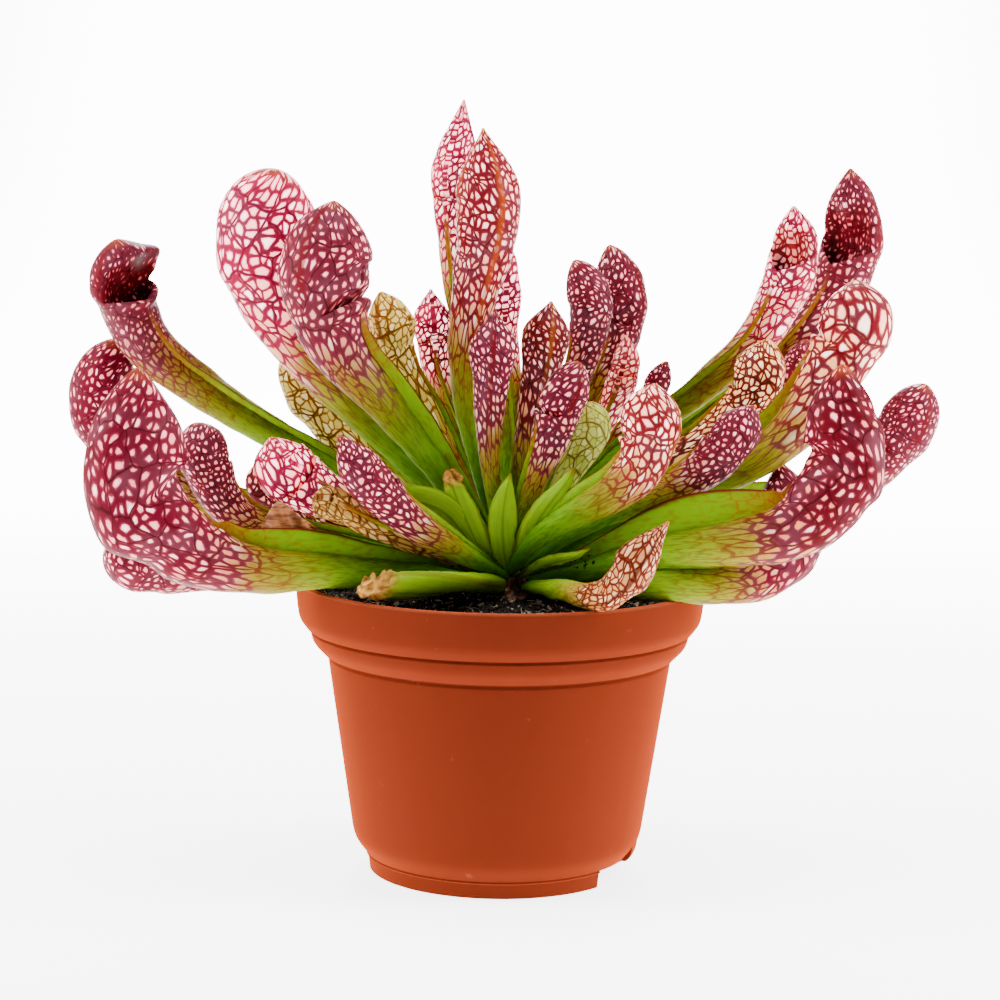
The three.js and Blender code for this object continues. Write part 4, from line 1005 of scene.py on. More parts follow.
    # What the material reads. The net is drawn out along the tube and even over the hood. On a leaf that
    # is turned to or from the front, its two ends meet on the side that looks away.
    side_of = np.where(side_of < 0, -1, 1)
    full_turn = np.hstack([turn * np.ones_like(pulled), side_of * (math.pi - 0.02) * np.ones_like(fin_y)])
    stretch = 0.32 + 0.63 * smooth((s / tube - 0.62) / 0.45)
    drawn = np.concatenate([[0], np.cumsum(np.diff(s) * (stretch[1:] + stretch[:-1]) / 2)])[:, None]
    steady_round = 0.55 * max(hood)
    round_way = np.abs(turn) * (steady_round + (across + deep) / 4)
    edge_way = math.pi * (steady_round + (line_across + line_deep) / 4) + fin * share
    round_way = np.hstack([round_way, edge_way])
    if faces and faces[1] < 0:
        half_way = math.pi * (steady_round + (across + deep) / 4)
        round_way = np.hstack([half_way, edge_way - fin * share]) - round_way
    if faces:
        round_way = round_way * np.where(full_turn < 0, -1, 1)
    up_way = drawn + z + 2.5 * np.sin(full_turn)
    apart = draw.uniform(0, SKIN_APART, 2)
    skin = np.stack([round_way + apart[0], up_way, apart[1] * np.ones_like(z)], -1)
    rise = np.where(place <= tube, place / tube, 1 + beyond / cap)
    wing_share = np.hstack([np.zeros_like(pulled), share * np.clip(fin / 1.5, 0, 1)])
    # How far a point lies in the mouth's hollow, or down the pocket into the tube, for the painted shade
    # inside.
    pocket_shade = np.hstack([weight * np.ones_like(h), np.ones_like(fin_y)]) * smooth((-slide / cap - 0.08) / 0.2)
    inside = (np.hstack([pulled, pull * np.ones_like(fin_y)]) - 0.05) / (0.9 if bowl else 0.5)
    inside = smooth(inside) + pocket_shade
    # Dark lines down both sides of the hood: partly its edge, partly painted shade where its outline shows.
    keel = np.exp(-((np.abs(full_turn) - math.pi / 2) / 0.13) ** 2) * smooth((rise - 0.95) / 0.35)
    round_share = np.abs(full_turn) / math.pi
    if faces and faces[1] > 0:
        round_share = np.where(rise > 1, np.minimum(round_share, 1 - round_share), round_share)
    values = {"skin": skin / net, "keel": keel * (1 if faces else 0.3), "rise": rise, "wing": wing_share,
              "inside": inside, "turn": round_share}
    tip = rings[-1].mean(axis=0) + 0.004 * cap * axis[-1, 0]
    made = leaf_mesh(name, rings, values, np.vstack([rings[0].mean(axis=0), tip]), material)
    if not extra:
        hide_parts(name)


# Pitchers at the front and low: two big ones that sweep out over the rim, and shorter ones between. Each way
# is the middle line from the rhizome to the tip, in points across, up and behind the pot's middle.
grow_pitcher("pitcher_left_low_large", crimson,
             mouth=4, hood=(12.5, 15), throat=(11.5, 9.2), stalk=4, wing=6.5, dome=0.1, depth=0.05, lip=0,
             chin=2.5, net=1.2,
             way=[(-4, 85, -9), (-24, 87, -20), (-50, 87.7, -30), (-78, 88.5, -37), (-97, 96, -40),
                  (-105.5, 111, -41), (-107, 128, -40), (-106.5, 147, -38)])
grow_pitcher("pitcher_left_under", maroon,
             mouth=4, hood=(7, 7.5), throat=(6, 6.5), stalk=4.6, wing=3, net=0.9,
             way=[(-5, 86, -4), (-32, 89, -8), (-60, 89, -13), (-88, 87.5, -18), (-100, 87.5, -20),
                  (-109.5, 90.5, -21), (-114, 98, -21)])
grow_pitcher("pitcher_right_low_large", ruby,
             mouth=5, hood=(10, 11.2), throat=(9.6, 9.4), stalk=4, wing=10, dome=0.2, depth=0.05, lip=0,
             chin=2, net=1.1,
             way=[(9, 85, -9), (26, 89, -20), (46, 95, -29), (66, 97.5, -34), (85, 101.5, -36.5),
                  (95.5, 110.5, -37), (99.5, 123, -36), (98.5, 137, -35), (98.5, 151, -34)])
grow_pitcher("pitcher_right_under", crimson,
             mouth=5, hood=(7.5, 7.6), throat=(7, 6.6), stalk=4.2, wing=2.6, depth=0.2, lip=0.1,
             way=[(11, 84.3, -3), (30, 84.4, -20), (48, 85.1, -31), (64, 85.2, -28), (76, 87.2, -22),
                  (86, 95.5, -16), (83.5, 108, -12), (81, 122, -9)])
grow_pitcher("pitcher_front_dried", rusty,
             mouth=3, hood=(6, 4.8), throat=(4.8, 4.2), stalk=2.6, wing=1, faces=(-0.2, 1, 0.1), dome=-0.8,
             depth=0.02, lip=0, lumps=0.3,
             way=[(7, 84, -11), (18, 83, -34), (28, 81.5, -52), (34, 84, -58), (40, 92, -60), (45, 99, -58),
                  (49, 104, -56)])
grow_pitcher("pitcher_front_left_keeled", plum,
             mouth=4, hood=(6, 6.3), throat=(5.6, 6), stalk=3.2, wing=2, dome=-0.4,
             way=[(1, 87, -13), (-8, 91.5, -20), (-18, 97.5, -27), (-27, 103, -32), (-35, 110.5, -36),
                  (-42, 119, -38), (-48, 128, -39)])
grow_pitcher("pitcher_left_withered", dry,
             mouth=4, hood=(4.5, 5.2), throat=(4.6, 5.4), stalk=2.4, wing=1, faces=(0.3, -1, 0.3),
             lumps=0.6,
             way=[(-4, 88, -9), (-20, 94, -18), (-34, 100, -26), (-43, 104.5, -31), (-50, 108, -32),
                  (-55.5, 109, -32)])
grow_pitcher("pitcher_front_right", cream,
             mouth=5, hood=(8, 8.8), throat=(7, 7.8), stalk=3.3, wing=3, gape=1.2, depth=0.7, cheek=1.6,
             lip=0.6,
             way=[(2, 88, -12), (11, 99, -19), (22, 106, -25), (33, 112.5, -29), (40.5, 120, -31),
                  (42.5, 127, -31.5), (43, 135, -31), (44, 144.5, -30)])

# Pitchers at the left, from the low inner ones to the tall pair. The lower a leaf grows, the further it
# leans out; the long one has a hollow hood with two lobes.
grow_pitcher("pitcher_left_pale_open", rose,
             mouth=4, hood=(9, 8.5), throat=(8, 7.5), stalk=2.8, wing=2, faces=(0.2, -0.9, 0.5), gape=1.5,
             depth=0.9, cheek=1.5, slant=0.1, lip=0.5,
             way=[(-4, 90, -3), (-25, 99, -9), (-42, 106, -13), (-53, 111, -15), (-57.5, 113.5, -16),
                  (-63.5, 118, -16), (-68, 127, -15)])
grow_pitcher("pitcher_left_brown_tip", bronze,
             mouth=3, hood=(3.6, 4), throat=(3.6, 4), stalk=2, wing=1, lumps=0.4,
             way=[(-5, 90, 7), (-30, 98, 13), (-55, 104.5, 11), (-66, 108.5, 7), (-70.5, 112, 5),
                  (-72, 119, 4)])
grow_pitcher("pitcher_left_dark_small", maroon,
             mouth=5, hood=(6.5, 7.5), throat=(6, 6.5), stalk=2.6, wing=2, dome=0.6, depth=0.12, lip=0.1,
             chin=0.8, net=0.8,
             way=[(-5.5, 87, 7), (-30, 93, 2), (-55, 97, -4), (-72, 101, -8), (-81, 107.5, -10),
                  (-86, 117, -11), (-88, 124, -11), (-90, 131, -10)])
# One more small hood shows behind the pale one.
grow_pitcher("pitcher_left_tucked", bronze,
             mouth=3, hood=(3.8, 3.6), throat=(3.4, 3.2), stalk=1.4, wing=0.5, depth=0.1, lip=0, net=0.8,
             extra=True,
             way=[(-6, 90, 4), (-34, 96, 6), (-56, 101, 6), (-66, 107, 6), (-68.5, 114, 6), (-69.5, 122, 6)])
grow_pitcher("pitcher_left_far", crimson,
             mouth=4, hood=(9, 10), throat=(7.5, 8.5), stalk=3, wing=3, dome=0.8, depth=0.15, lip=0.1,
             net=0.85,
             way=[(-5, 88, 14), (-38, 96, 21), (-75, 104, 26), (-99, 111, 27), (-112.5, 125, 27),
                  (-116.5, 140, 26), (-112, 155, 24)])
grow_pitcher("pitcher_left_long", dusky,
             mouth=5, hood=(10.5, 9.5), throat=(8.5, 8.5), stalk=3.6, wing=3, faces=(0.75, -0.65, 0.15),
             gape=1.2, depth=1.0, cheek=1.3, lip=1.4, bowl=0.8, slant=0.16, lobes=-6, dome=0.4,
             way=[(-4, 91, 11), (-30, 107, 20), (-60, 124, 25), (-89, 142, 22), (-103.5, 154, 17),
                  (-109.5, 166, 14), (-110.5, 174, 12), (-112.5, 184, 10)])
grow_pitcher("pitcher_left_golden", golden,
             mouth=3, hood=(7, 8.5), throat=(5.5, 7), stalk=2.6, wing=2, depth=0.2, dome=0.2, net=1.2,
             way=[(-3.5, 92, 9), (-24, 108, 19), (-42, 122, 28), (-52, 134, 31), (-57.5, 144, 31),
                  (-62, 155, 29)])
grow_pitcher("pitcher_left_tall_pale", rose,
             mouth=4, hood=(12.5, 15.4), throat=(11.5, 13.5), stalk=3.6, wing=3, dome=0.9, depth=0.1, lip=0,
             net=1.3,
             way=[(-1, 93, 3), (-20, 113, 6), (-42, 136, 9), (-58, 156, 11), (-66, 171, 12),
                  (-68.8, 188, 11), (-67, 205, 9)])
grow_pitcher("pitcher_left_tall_dark", maroon,
             mouth=5, hood=(11.5, 14), throat=(10.5, 12), stalk=3.6, wing=5, faces=(0.85, -0.55, 0.2),
             gape=1.5, depth=1.0, cheek=1.75, dome=0.3, slant=-0.13, lip=0.9, net=1.25,
             way=[(-1, 93, -3), (-12, 109, -6), (-25, 126, -9), (-37.5, 142, -11), (-47.5, 154, -13),
                  (-51.5, 166, -14), (-51.5, 179, -14), (-49.5, 196, -14)])
grow_pitcher("pitcher_left_inner_golden", golden,
             mouth=4, hood=(7, 7), throat=(5.2, 5.4), stalk=2.2, wing=2, faces=(0.8, -0.5, 0.3), net=1.1,
             way=[(0, 94, 13), (-11, 116, 21), (-21, 135, 25), (-28.5, 147, 26), (-31, 153.5, 26),
                  (-33, 161, 26), (-36, 170, 25)])
grow_pitcher("pitcher_left_inner_pink", rose,
             mouth=4, hood=(6.3, 5.5), throat=(5.2, 5), stalk=2.2, wing=2, faces=(0.1, -1, 0.2), gape=1.5,
             depth=1.0, cheek=1.35, slant=-0.1, lip=0.6, brow=0.2, dome=-0.8, net=0.8,
             way=[(1, 94, 18), (-8, 118, 31), (-15, 136, 36), (-19.5, 148, 38), (-20.5, 156, 38),
                  (-21, 163, 37), (-21.5, 171, 36)])

# Pitchers in the middle, upright and close together: two tall ones one behind the other, and smaller, younger
# ones round them.
grow_pitcher("pitcher_centre_tallest", rose,
             mouth=4, hood=(6.5, 6.5), throat=(5.6, 6), stalk=2.4, wing=2, faces=(-0.35, -1, 0.1), gape=1.4,
             depth=1.0, cheek=1.4, lip=0.5, dome=-0.7, net=0.85,
             way=[(2, 95, 16), (-5, 125, 27), (-11, 155, 33), (-14.5, 180, 35), (-15.5, 196, 35),
                  (-15, 205, 34.5), (-12.5, 225.5, 32)])
grow_pitcher("pitcher_centre_tall", brick,
             mouth=5, hood=(9.6, 8.5), throat=(9, 8), stalk=2.5, wing=2, faces=(-0.45, 0.9, 0), dome=-0.65,
             net=1.0,
             way=[(0.5, 94, 0), (-6, 116, -1), (-11, 138, -1), (-11.5, 154, -2), (-8.5, 171, -4),
                  (-5.5, 187, -6), (-5.5, 202, -7), (-7, 217.5, -6)])
grow_pitcher("pitcher_centre_behind", rose,
             mouth=3, hood=(5.4, 5), throat=(4.6, 4.6), stalk=4.8, wing=1.5, faces=(0.2, -1, 0), depth=0.2,
             net=0.85,
             way=[(3.5, 90, 8), (3, 120, 16), (1, 145, 19), (-0.5, 160, 20), (-0.5, 172, 20),
                  (-1, 187, 19)])
grow_pitcher("pitcher_centre_front", plum,
             mouth=4, hood=(7.2, 6), throat=(5.6, 5.4), stalk=2.3, wing=1.5, faces=(0, 1, 0), dome=-0.75,
             way=[(0.5, 92, -7), (-1.5, 105, -10), (-3.5, 120, -12), (-4, 134, -14), (-3.5, 147, -15),
                  (-2.5, 165, -14)])
grow_pitcher("pitcher_centre_bronze", bronze,
             mouth=4, hood=(6.8, 6), throat=(6.4, 6), stalk=2.4, wing=1.5, faces=(-0.3, 1, 0), dome=-0.6,
             way=[(4, 94, 0), (4.5, 112, 1), (6.5, 127, 2), (9.5, 141, 2), (11.5, 153, 2), (13.5, 168, 2)])
grow_pitcher("pitcher_centre_bowed", plum,
             mouth=4, hood=(6.3, 6.5), throat=(6.4, 6.4), stalk=2.2, wing=1.5, faces=(-0.85, -0.45, 0.3),
             gape=1.5, depth=0.9, cheek=1.6, slant=0.1, lip=0.7, dome=0.6,
             way=[(5, 91, -6), (6.5, 104, -10), (9.5, 115, -13), (13.5, 126, -15), (15.5, 133.5, -16),
                  (18.5, 142, -16), (22, 150.5, -15)])
grow_pitcher("pitcher_centre_maroon", maroon,
             mouth=4, hood=(5.6, 6.6), throat=(5, 5.8), stalk=2, wing=1.5, depth=0.05, lip=0, chin=0.8,
             net=0.85, dome=0.3,
             way=[(6, 93, 5), (9.5, 113, 10), (16, 132, 13), (22.5, 149, 13), (25, 161, 13), (24, 171, 12),
                  (20, 180, 11)])
grow_pitcher("pitcher_centre_maroon_back", maroon,
             mouth=4, hood=(7.6, 7.6), throat=(6, 6.8), stalk=2.3, wing=2, faces=(-0.6, -0.8, 0.1),
             gape=1.2, depth=0.9, cheek=1.7, lip=0.4, net=0.9, dome=0.2,
             way=[(5, 94, 15), (13, 116, 26), (24, 137, 32), (32, 153, 33), (34, 161, 33), (33.5, 172, 33),
                  (30, 184.5, 31)])
grow_pitcher("pitcher_centre_coral", coral,
             mouth=4, hood=(4.2, 4.2), throat=(4.8, 4.8), stalk=2, wing=1.2, faces=(-0.2, -1, 0.2),
             gape=1.6, depth=1.0, cheek=1.4, slant=0.1, lip=0.7, dome=-0.6,
             way=[(8, 92, 9), (15, 108, 16), (24, 123, 21), (31, 136, 24), (34.5, 146, 24), (35.5, 151, 24),
                  (35.5, 158.5, 23)])
grow_pitcher("pitcher_centre_faded", faded,
             mouth=3, hood=(5, 5.4), throat=(4.8, 5.2), stalk=2.1, wing=1, dome=0.5,
             way=[(7.5, 92, 0), (13, 106, -1), (19, 117, -2), (24.5, 127, -2.5), (26, 131, -2.5),
                  (25.5, 139, -2)])

# Pitchers at the right: the tall pair with open mouths, a round hood that bends inward, and smaller ones
# close to them.
grow_pitcher("pitcher_right_small_tip", maroon,
             mouth=3, hood=(3.8, 4), throat=(3.6, 4), stalk=1.9, wing=1, net=0.8,
             way=[(8, 92, 15), (20, 110, 26), (33, 127, 32), (42, 139, 34), (44.5, 144, 34),
                  (47.5, 151, 33)])
grow_pitcher("pitcher_right_tall_pale", rose,
             mouth=6, hood=(7.2, 7), throat=(7.6, 7.6), stalk=3, wing=3, faces=(-0.55, -0.8, 0.2), gape=1.2,
             depth=1.0, cheek=1.45, slant=0.35, lip=0.6, bowl=0.85, dome=-0.3, net=0.95,
             way=[(7.5, 92, 5), (23, 113, 9), (45, 133, 12), (61, 146, 13), (73, 157.5, 13), (80, 170, 12),
                  (82.5, 177, 11), (83.5, 185, 10), (83, 196.5, 8)])
grow_pitcher("pitcher_right_tall_dark", maroon,
             mouth=5, hood=(9.3, 8.5), throat=(9, 8.5), stalk=3, wing=3, faces=(-0.55, -0.8, 0.2), gape=1.3,
             depth=1.05, cheek=1.55, slant=0.32, lip=0.6, bowl=0.75, dome=-0.1, net=1.0,
             way=[(7, 91, 20), (31, 113, 32), (58, 134, 37), (80, 152, 38), (93, 167, 37), (98, 178, 36),
                  (100, 190, 35), (99, 207.5, 32)])
grow_pitcher("pitcher_right_round", cream,
             mouth=6, hood=(9.5, 10.6), throat=(8, 9.2), stalk=3.2, wing=5, dome=0.1, gape=1.0, depth=0.5,
             cheek=1.9, lip=0.6, net=1.3,
             way=[(9.5, 89, -3), (30, 103, -7), (54, 113, -9), (72, 121, -10), (85, 132, -11),
                  (94, 146, -12), (99, 155, -12.5), (102, 164, -12.5), (102, 175.5, -9)])
grow_pitcher("pitcher_right_far", maroon,
             mouth=5, hood=(8, 9), throat=(7, 8), stalk=3, wing=3, faces=(-0.75, -0.45, 0.5), dome=0.6,
             gape=1.2, depth=0.8, cheek=1.7, lip=0.3, net=0.85,
             way=[(10, 87, 10), (35, 101, 16), (65, 109, 19), (90, 112.5, 19), (105, 118.5, 17),
                  (112.5, 126, 15), (118.5, 135, 14), (123, 145.5, 13)])
grow_pitcher("pitcher_right_golden", amber,
             mouth=5, hood=(7, 7.6), throat=(5.8, 6.4), stalk=2.5, wing=2, dome=0.0, depth=0.3, gape=1.0,
             lip=0.5,
             way=[(9, 91, 2), (26, 108, 2.5), (45, 120, 3), (60, 129, 3), (68, 136.5, 2.5), (71.5, 141, 2),
                  (74, 147, 1.5), (77, 158, 2)])
grow_pitcher("pitcher_right_purple", maroon,
             mouth=5, hood=(5.8, 6.6), throat=(5.6, 6.6), stalk=2.4, wing=1.5, net=0.85, depth=0.2,
             way=[(6, 89, -8), (21, 100, -12), (38, 108.5, -16), (51, 114.5, -20), (60.5, 121, -22.5),
                  (64, 125, -23), (68, 130, -23.5), (73, 138.5, -23)])
grow_pitcher("pitcher_right_shaded", maroon,
             mouth=4, hood=(4.6, 5), throat=(4.6, 5), stalk=2.2, wing=1.5, net=0.9,
             way=[(9, 89, 13), (35, 108, 23), (60, 123, 26), (76, 135, 26), (83, 145, 25.5), (86, 150, 25),
                  (88, 158, 24)])

# Pitchers behind, which don't show from the front. They are like the others, so that the plant is as full
# from the back.
grow_pitcher("pitcher_back_low_left", crimson,
             mouth=3, hood=(7, 7.5), throat=(6, 6.5), stalk=2.8, wing=3, gape=1.5, depth=0.9, cheek=1.5,
             lip=0.4, dome=0.4,
             way=[(-1, 87, 23), (-9, 94, 37), (-15, 101, 48), (-18, 109, 54), (-19, 117, 56),
                  (-19, 129, 56)])
grow_pitcher("pitcher_back_low_right", maroon,
             mouth=3, hood=(7.5, 8), throat=(6, 7), stalk=2.8, wing=3, gape=1.5, depth=0.9, cheek=1.5,
             lip=0.4, dome=0.4,
             way=[(7, 87, 23), (13, 95, 37), (18, 102, 48), (21, 110, 54), (22, 118, 56), (21, 132, 56)])
grow_pitcher("pitcher_back_left", rose,
             mouth=3, hood=(6, 6.5), throat=(5, 6), stalk=2.4, wing=2, gape=1.4, depth=0.8, cheek=1.6,
             net=0.9,
             way=[(-3, 89, 19), (-22, 99, 35), (-38, 105, 46), (-46, 111, 51), (-50, 117, 52),
                  (-53, 128, 52)])
grow_pitcher("pitcher_back_right", golden,
             mouth=3, hood=(5.5, 6), throat=(5, 6), stalk=2.4, wing=2, gape=1.4, depth=0.8, cheek=1.6,
             way=[(9, 88, 18), (30, 97, 33), (48, 103, 43), (56, 108, 47), (60, 113, 48), (63, 122, 48)])
grow_pitcher("pitcher_back_high_centre", crimson,
             mouth=3, hood=(6.5, 7), throat=(6, 6.5), stalk=2.4, wing=2, gape=1.4, depth=0.9, cheek=1.5,
             bowl=0.5, slant=0.15,
             way=[(3.5, 93, 21), (3, 121, 37), (-1, 148, 48), (-5, 162, 52), (-6, 170, 53),
                  (-6.5, 186, 53)])
grow_pitcher("pitcher_back_high_left", plum,
             mouth=3, hood=(7.5, 8), throat=(6.5, 7), stalk=2.6, wing=3, gape=1.4, depth=0.8, cheek=1.6,
             net=1.2, dome=0.4,
             way=[(-1, 92, 20), (-20, 124, 38), (-42, 151, 49), (-52, 163, 52), (-56, 171, 52),
                  (-58, 186, 51)])
grow_pitcher("pitcher_back_high_right", cream,
             mouth=3, hood=(6.5, 7), throat=(6, 6.5), stalk=2.4, wing=2, gape=1.4, depth=0.8, cheek=1.6,
             dome=0.2,
             way=[(5.5, 91, 24), (14, 117, 41), (22, 138, 52), (27, 149, 56), (29, 156, 57), (29, 171, 57)])
grow_pitcher("pitcher_back_far_right", crimson,
             mouth=3, hood=(7.5, 8), throat=(6.5, 7), stalk=2.6, wing=3, gape=1.4, depth=0.8, cheek=1.6,
             dome=0.5,
             way=[(9, 89.5, 23), (38, 119, 44), (66, 142, 53), (86, 158, 56), (93, 166, 56), (98, 181, 55)])

# Flat leaves in the middle and at the front: firm, waxy, bright green, with faint lines along them and thin
# red-brown edges. Where a tip has dried it is papery and brown.
STRIPE_WIDTH = 0.625
DRY_PATCH = 2
BLADE_SIDES = 44

blade_skin, tree = new_material("young_leaf_green")
# Bright yellow-green, paler along the middle, deeper green in lines; the dry part is tan and matt.
skin = add(tree, "Attribute", attribute_name="skin", output="Vector")
rise, edge_share, dried, turn = (add(tree, "Attribute", attribute_name=label, output="Fac")
                                 for label in ("rise", "wing", "inside", "turn"))
line_spot = add(tree, "VectorMath", skin, (1, 1, LINE_STRETCH), operation="MULTIPLY")
lines = add(tree, "TexNoise", Vector=line_spot, Scale=1 / STRIPE_WIDTH, Detail=3)
patches = add(tree, "TexNoise", Vector=skin, Scale=1 / DRY_PATCH, Detail=4)
middle = add(tree, "Math", add(tree, "Math", turn, 0.5, operation="SUBTRACT"), operation="ABSOLUTE")
colour = layered(tree, "#7AA006", [(lines, 0.36, 0.7, 0.4, "#547C04"), (middle, 0.44, 0.5, 0.6, "#3C5E03")])
# Painted shade: the blade is darker towards its foot, down among the other leaves.
shaded = add(tree, "MapRange", rise, 0.0, 0.4, 0.5, 0.0, **SOFT)
colour = add(tree, "Mix", shaded, colour, "#2E5005", **COLOURS)
colour = layered(tree, colour, [(edge_share, 0.9, 1.0, 0.55, "#4C220A"), (rise, 0.9, 1.0, 0.8, "#6A4A14")])
tan = layered(tree, "#AC7C34", [(patches, 0.35, 0.65, 1, "#6A4018")])
colour = add(tree, "Mix", dried, colour, tan, **COLOURS)
rough = add(tree, "MapRange", dried, 0, 1, 0.36, 0.8, **SOFT)
height = add(tree, "Math", lines, add(tree, "Math", patches, 0.4, operation="MULTIPLY"), operation="ADD")
bump = add(tree, "Bump", Strength=0.3, Distance=0.2 * MM, Height=height)
add(tree, "OutputMaterial", add(tree, "BsdfPrincipled", Base_Color=colour, Roughness=rough, Normal=bump,
                                Specular_IOR_Level=0.03))


def grow_blade(name, way, size, blunt, faces, dry_from=2.0, crumple=0.0):
    """One flat leaf: lens-shaped across, widest past its middle, dried and crumpled from a share of its
    length on."""
    length, _, frame_at = middle_line(way, None, faces)
    draw = np.random.RandomState(sum(map(ord, name)))
    share = np.concatenate([np.linspace(0, 0.9, 40), np.linspace(0.91, 0.998, 16)])
    turn = np.linspace(0, 2 * math.pi, BLADE_SIDES, endpoint=False)[None, :]
    wide = size[0] * along([(0, 0.55), (0.25, 0.85), (0.55, 1), (0.8, 0.6 + 0.35 * blunt),
                            (0.95, 0.2 + 0.6 * blunt), (1, 0.05 + 0.5 * blunt)], share)[:, None]
    thick = (size[1] * (1 - 0.35 * share) * smooth((1.06 - share) / 0.2))[:, None]
    s = share[:, None] * length
    everywhere = np.ones((len(share), BLADE_SIDES))
    dried = smooth((share - dry_from) / 0.12)[:, None] * everywhere
    waves = np.zeros_like(everywhere)
    for _ in range(6):
        round_count, wave_length = draw.randint(2, 7), draw.uniform(2.5, 9)
        waves += np.sin(round_count * turn + s * 2 * math.pi / wave_length + draw.uniform(0, 6.28)) / 2.4
    grown = waves * (0.08 + crumple * dried)
    groove = 1 - 0.16 * np.exp(-((turn - math.pi) / 0.35) ** 2)
    x = np.sin(turn) * (wide + grown)
    y = -np.cos(turn) * (thick * groove + grown)
    point, axis, inner, side = (v[:, None, :] for v in frame_at(share * length))
    rings = point + side * x[..., None] + inner * y[..., None]
    skin = np.stack([x, y, s + draw.uniform(0, 300) * everywhere], -1)
    values = {"skin": skin, "rise": share[:, None] * everywhere, "wing": np.abs(np.sin(turn)) * everywhere,
              "inside": dried, "turn": np.abs(turn / math.pi - 1) * everywhere}
    ends = np.vstack([point[0, 0], point[-1, 0] + 0.3 * axis[-1, 0]])
    made = leaf_mesh(name, rings, values, ends, blade_skin)
    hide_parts(name)


grow_blade("blade_dry_tip", size=(3.9, 2.4), blunt=0.55, faces=(0.2, 1, 0.2), dry_from=0.8, crumple=0.7,
           way=[(-1.5, 93, -10), (-6, 98.5, -14), (-10.5, 106, -16.5), (-13.5, 112, -17.5),
                (-15, 118.5, -18)])
grow_blade("blade_front", size=(4.2, 2.7), blunt=0, faces=(0, 1, 0),
           way=[(1.5, 91, -12), (0.5, 96, -15), (0.3, 104, -17), (1, 111, -17.5), (2.5, 117.5, -17.5)])
grow_blade("blade_right", size=(3.4, 2.3), blunt=0.3, faces=(0.1, 1, 0.2),
           way=[(4.5, 92, -12), (8, 101, -17), (13, 108, -20.5), (17.5, 113.5, -22.5), (21, 119, -23)])
grow_blade("blade_low_right", size=(2.3, 1.2), blunt=0, faces=(0, 0.8, 0.5),
           way=[(5.5, 87, -9.5), (13, 91.3, -20), (18, 92.6, -24), (22, 93.6, -27), (26, 95.5, -29)])
grow_blade("blade_front_dry_tip", size=(6.4, 3.4), blunt=0.8, faces=(0, 0.8, 0.6), dry_from=0.77,
           crumple=0.8,
           way=[(-1, 85, -13), (-12, 85, -26), (-24, 83.9, -37), (-34.2, 83.6, -44), (-41.2, 83.5, -48)])
grow_blade("blade_cut", size=(5.2, 1.7), blunt=1, faces=(0.2, 1, 0.2), dry_from=1.1,
           way=[(-3, 91, -8), (-10, 100, -13), (-17, 106.5, -17), (-25, 109, -20), (-32, 109.5, -22)])

# Loose bits on the leaves: dried threads and a torn scrap of an old leaf at the left, and crumbs of peat on
# the big right leaf. Each is laid on the skin where it is met from the front.
THREAD_SEED = 11
THREAD_COUNT = 8
THREAD_WIDTH = 0.11
THREAD_STEP = 0.6

thread_dry, tree = new_material("dried_leaf_thread")
# Pale peach, dull and dry.
add(tree, "OutputMaterial", add(tree, "BsdfPrincipled", Base_Color="#D89468", Roughness=0.7))


def resting_on(leaf, x, height, off=0.0):
    """The point of a leaf that shows at x and height, as seen from the front, and a little off its skin."""
    skin = BVHTree.FromPolygons([v.co for v in leaf.data.vertices], [f.vertices for f in leaf.data.polygons])
    eye = Vector(EYE) * MM
    place, facing, _, _ = skin.ray_cast(eye, (Vector((x, 0, height)) * MM - eye).normalized())
    return None if place is None else np.array(place / MM + facing * off)


def bit_mesh(name, points, faces, material):
    """One small closed piece that rides with the plant and stands for no piece of the frame."""
    made = put_mesh(name, points, faces, material, closed=True)
    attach(made, "root")


draw = np.random.RandomState(THREAD_SEED)
big_left = bpy.data.objects["pitcher_left_low_large"]
points, faces = [], []
for _ in range(THREAD_COUNT):
    x, height = draw.uniform(-84, -77), draw.uniform(92.5, 97)
    heading, bend = draw.uniform(-1.9, -0.9), draw.uniform(-0.14, 0.14)
    line = []
    for _ in range(draw.randint(12, 20)):
        spot = resting_on(big_left, x, height, draw.uniform(0.1, 0.5))
        if spot is not None:
            line.append(spot)
        x, height = x + THREAD_STEP * math.cos(heading), height + THREAD_STEP * math.sin(heading)
        heading += bend + draw.uniform(-0.15, 0.15)
    start = len(points)
    for spot in line:
        points += [spot + THREAD_WIDTH * np.array((math.cos(a), 0.5 * math.sin(a), math.sin(a)))
                   for a in (0, math.pi / 2, math.pi, 3 * math.pi / 2)]
    faces += ring_faces(start, len(points) - 4, 4)
    faces += [tuple(range(start, start + 4)), tuple(range(len(points) - 1, len(points) - 5, -1))]
bit_mesh("dried_threads", points, faces, thread_dry)

# The scrap: a thin torn three-cornered sheet between the big left leaf and the pale hood. It is given by the
# points of its lower and of its upper edge.
SCRAP_LOW = ((-70.5, 99.5, -25), (-66, 99, -26), (-60, 98.5, -25), (-55, 98, -24))
SCRAP_HIGH = ((-70.2, 101.8, -24), (-65.2, 108.2, -23), (-59, 103.8, -24), (-54, 100.5, -23))
SCRAP_ROWS = 8
SCRAP_COLUMNS = 25
SCRAP_HALF = 0.15
SCRAP_STREAK = (3.333, 3.333, 0.7143)

scrap_dry, tree = new_material("dried_leaf_scrap")
# Tan and brown paper with darker streaks.
place = add(tree, "TexCoord", output="Object")
streaks = add(tree, "Mapping", Vector=place, Scale=[1 / (size * MM) for size in SCRAP_STREAK])
streaks = add(tree, "TexNoise", Vector=streaks, Scale=1, Detail=3)
colour = layered(tree, "#BC7238", [(streaks, 0.35, 0.65, 1, "#6E3A18")])
add(tree, "OutputMaterial", add(tree, "BsdfPrincipled", Base_Color=colour, Roughness=0.75))

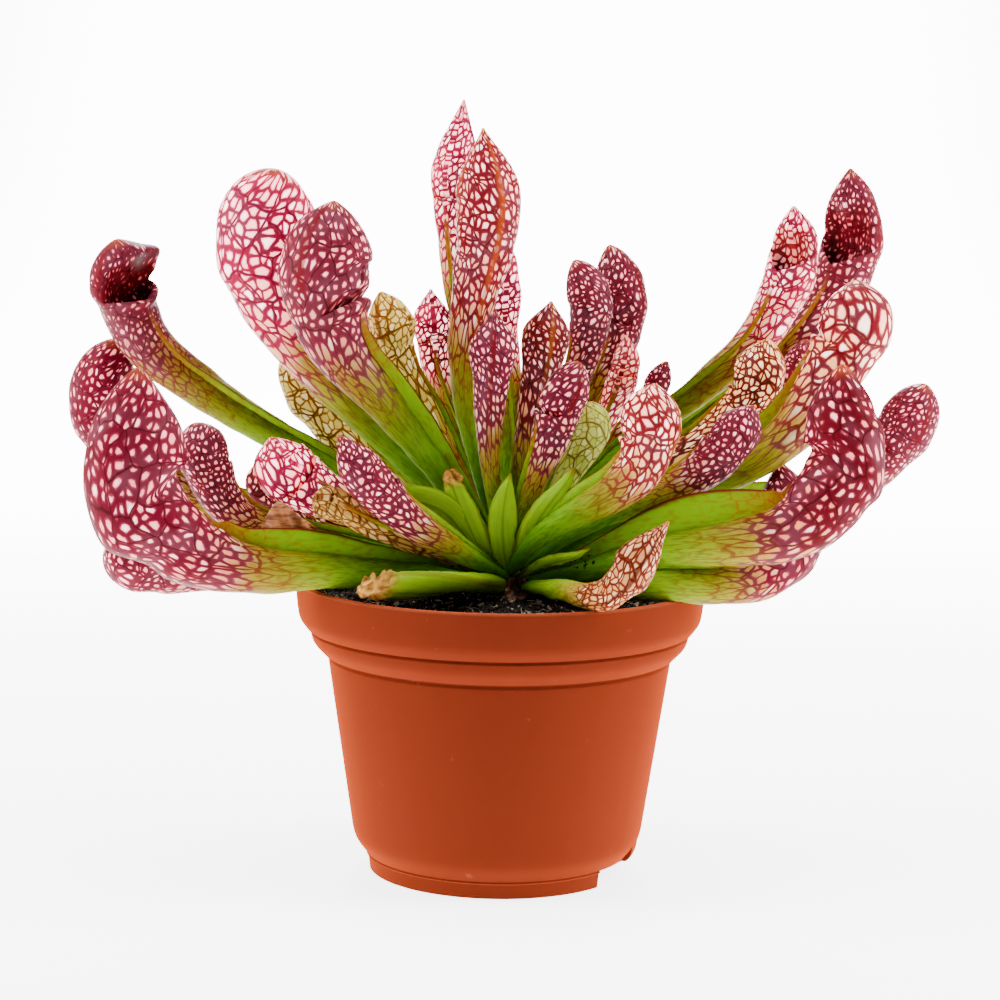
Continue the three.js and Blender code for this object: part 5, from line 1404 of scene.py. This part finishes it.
steps = np.linspace(0, 1, SCRAP_COLUMNS)
low, high = (np.stack([along([(i / 3, seen(*corner)[k]) for i, corner in enumerate(edge)], steps)
                       for k in range(3)], -1) for edge in (SCRAP_LOW, SCRAP_HIGH))
rows = np.linspace(0, 1, SCRAP_ROWS)[:, None, None]
sheet = low * (1 - rows) + high * rows
sheet[..., 1] += 0.6 * np.sin(sheet[..., 0] * 1.3 + 4 * rows[..., 0])
points = np.concatenate([(sheet + (0, side, 0)).reshape(-1, 3) for side in (-SCRAP_HALF, SCRAP_HALF)])
count = SCRAP_ROWS * SCRAP_COLUMNS
grid = np.arange(count).reshape(SCRAP_ROWS, SCRAP_COLUMNS)
border = np.concatenate([grid[0], grid[1:, -1], grid[-1, -2::-1], grid[-2:0:-1, 0]]).tolist()
faces = []
for i in range(SCRAP_ROWS - 1):
    for j in range(SCRAP_COLUMNS - 1):
        quad = (grid[i, j], grid[i, j + 1], grid[i + 1, j + 1], grid[i + 1, j])
        faces += [tuple(int(k) for k in quad), tuple(int(k) + count for k in quad[::-1])]
faces += [(a, b, b + count, a + count) for a, b in zip(border, border[1:] + border[:1])]
bit_mesh("dried_scrap", points, faces, scrap_dry)

# The crumbs of peat: small lumps with six sides.
CRUMB_SEED = 12
CRUMB_COUNT = 16
CRUMB_SIDES = 6
draw = np.random.RandomState(CRUMB_SEED)
big_right = bpy.data.objects["pitcher_right_low_large"]
points, faces = [], []
for _ in range(CRUMB_COUNT):
    x, height = draw.uniform(20, 31), draw.uniform(87, 94)
    spot = resting_on(big_right, x, height)
    if spot is None:
        continue
    start, size = len(points), draw.uniform(0.25, 0.6)
    for up in (-1, 1):
        points += [spot + size * np.array((math.cos(a), 0.5 * up, math.sin(a))) * draw.uniform(0.6, 1.1, 3)
                   for a in np.arange(CRUMB_SIDES) * 2 * math.pi / CRUMB_SIDES]
    middle = start + CRUMB_SIDES
    faces += [tuple(range(middle - 1, start - 1, -1)), tuple(range(middle, middle + CRUMB_SIDES))]
    faces += ring_faces(start, middle, CRUMB_SIDES)
bit_mesh("peat_specks", points, faces, peat)
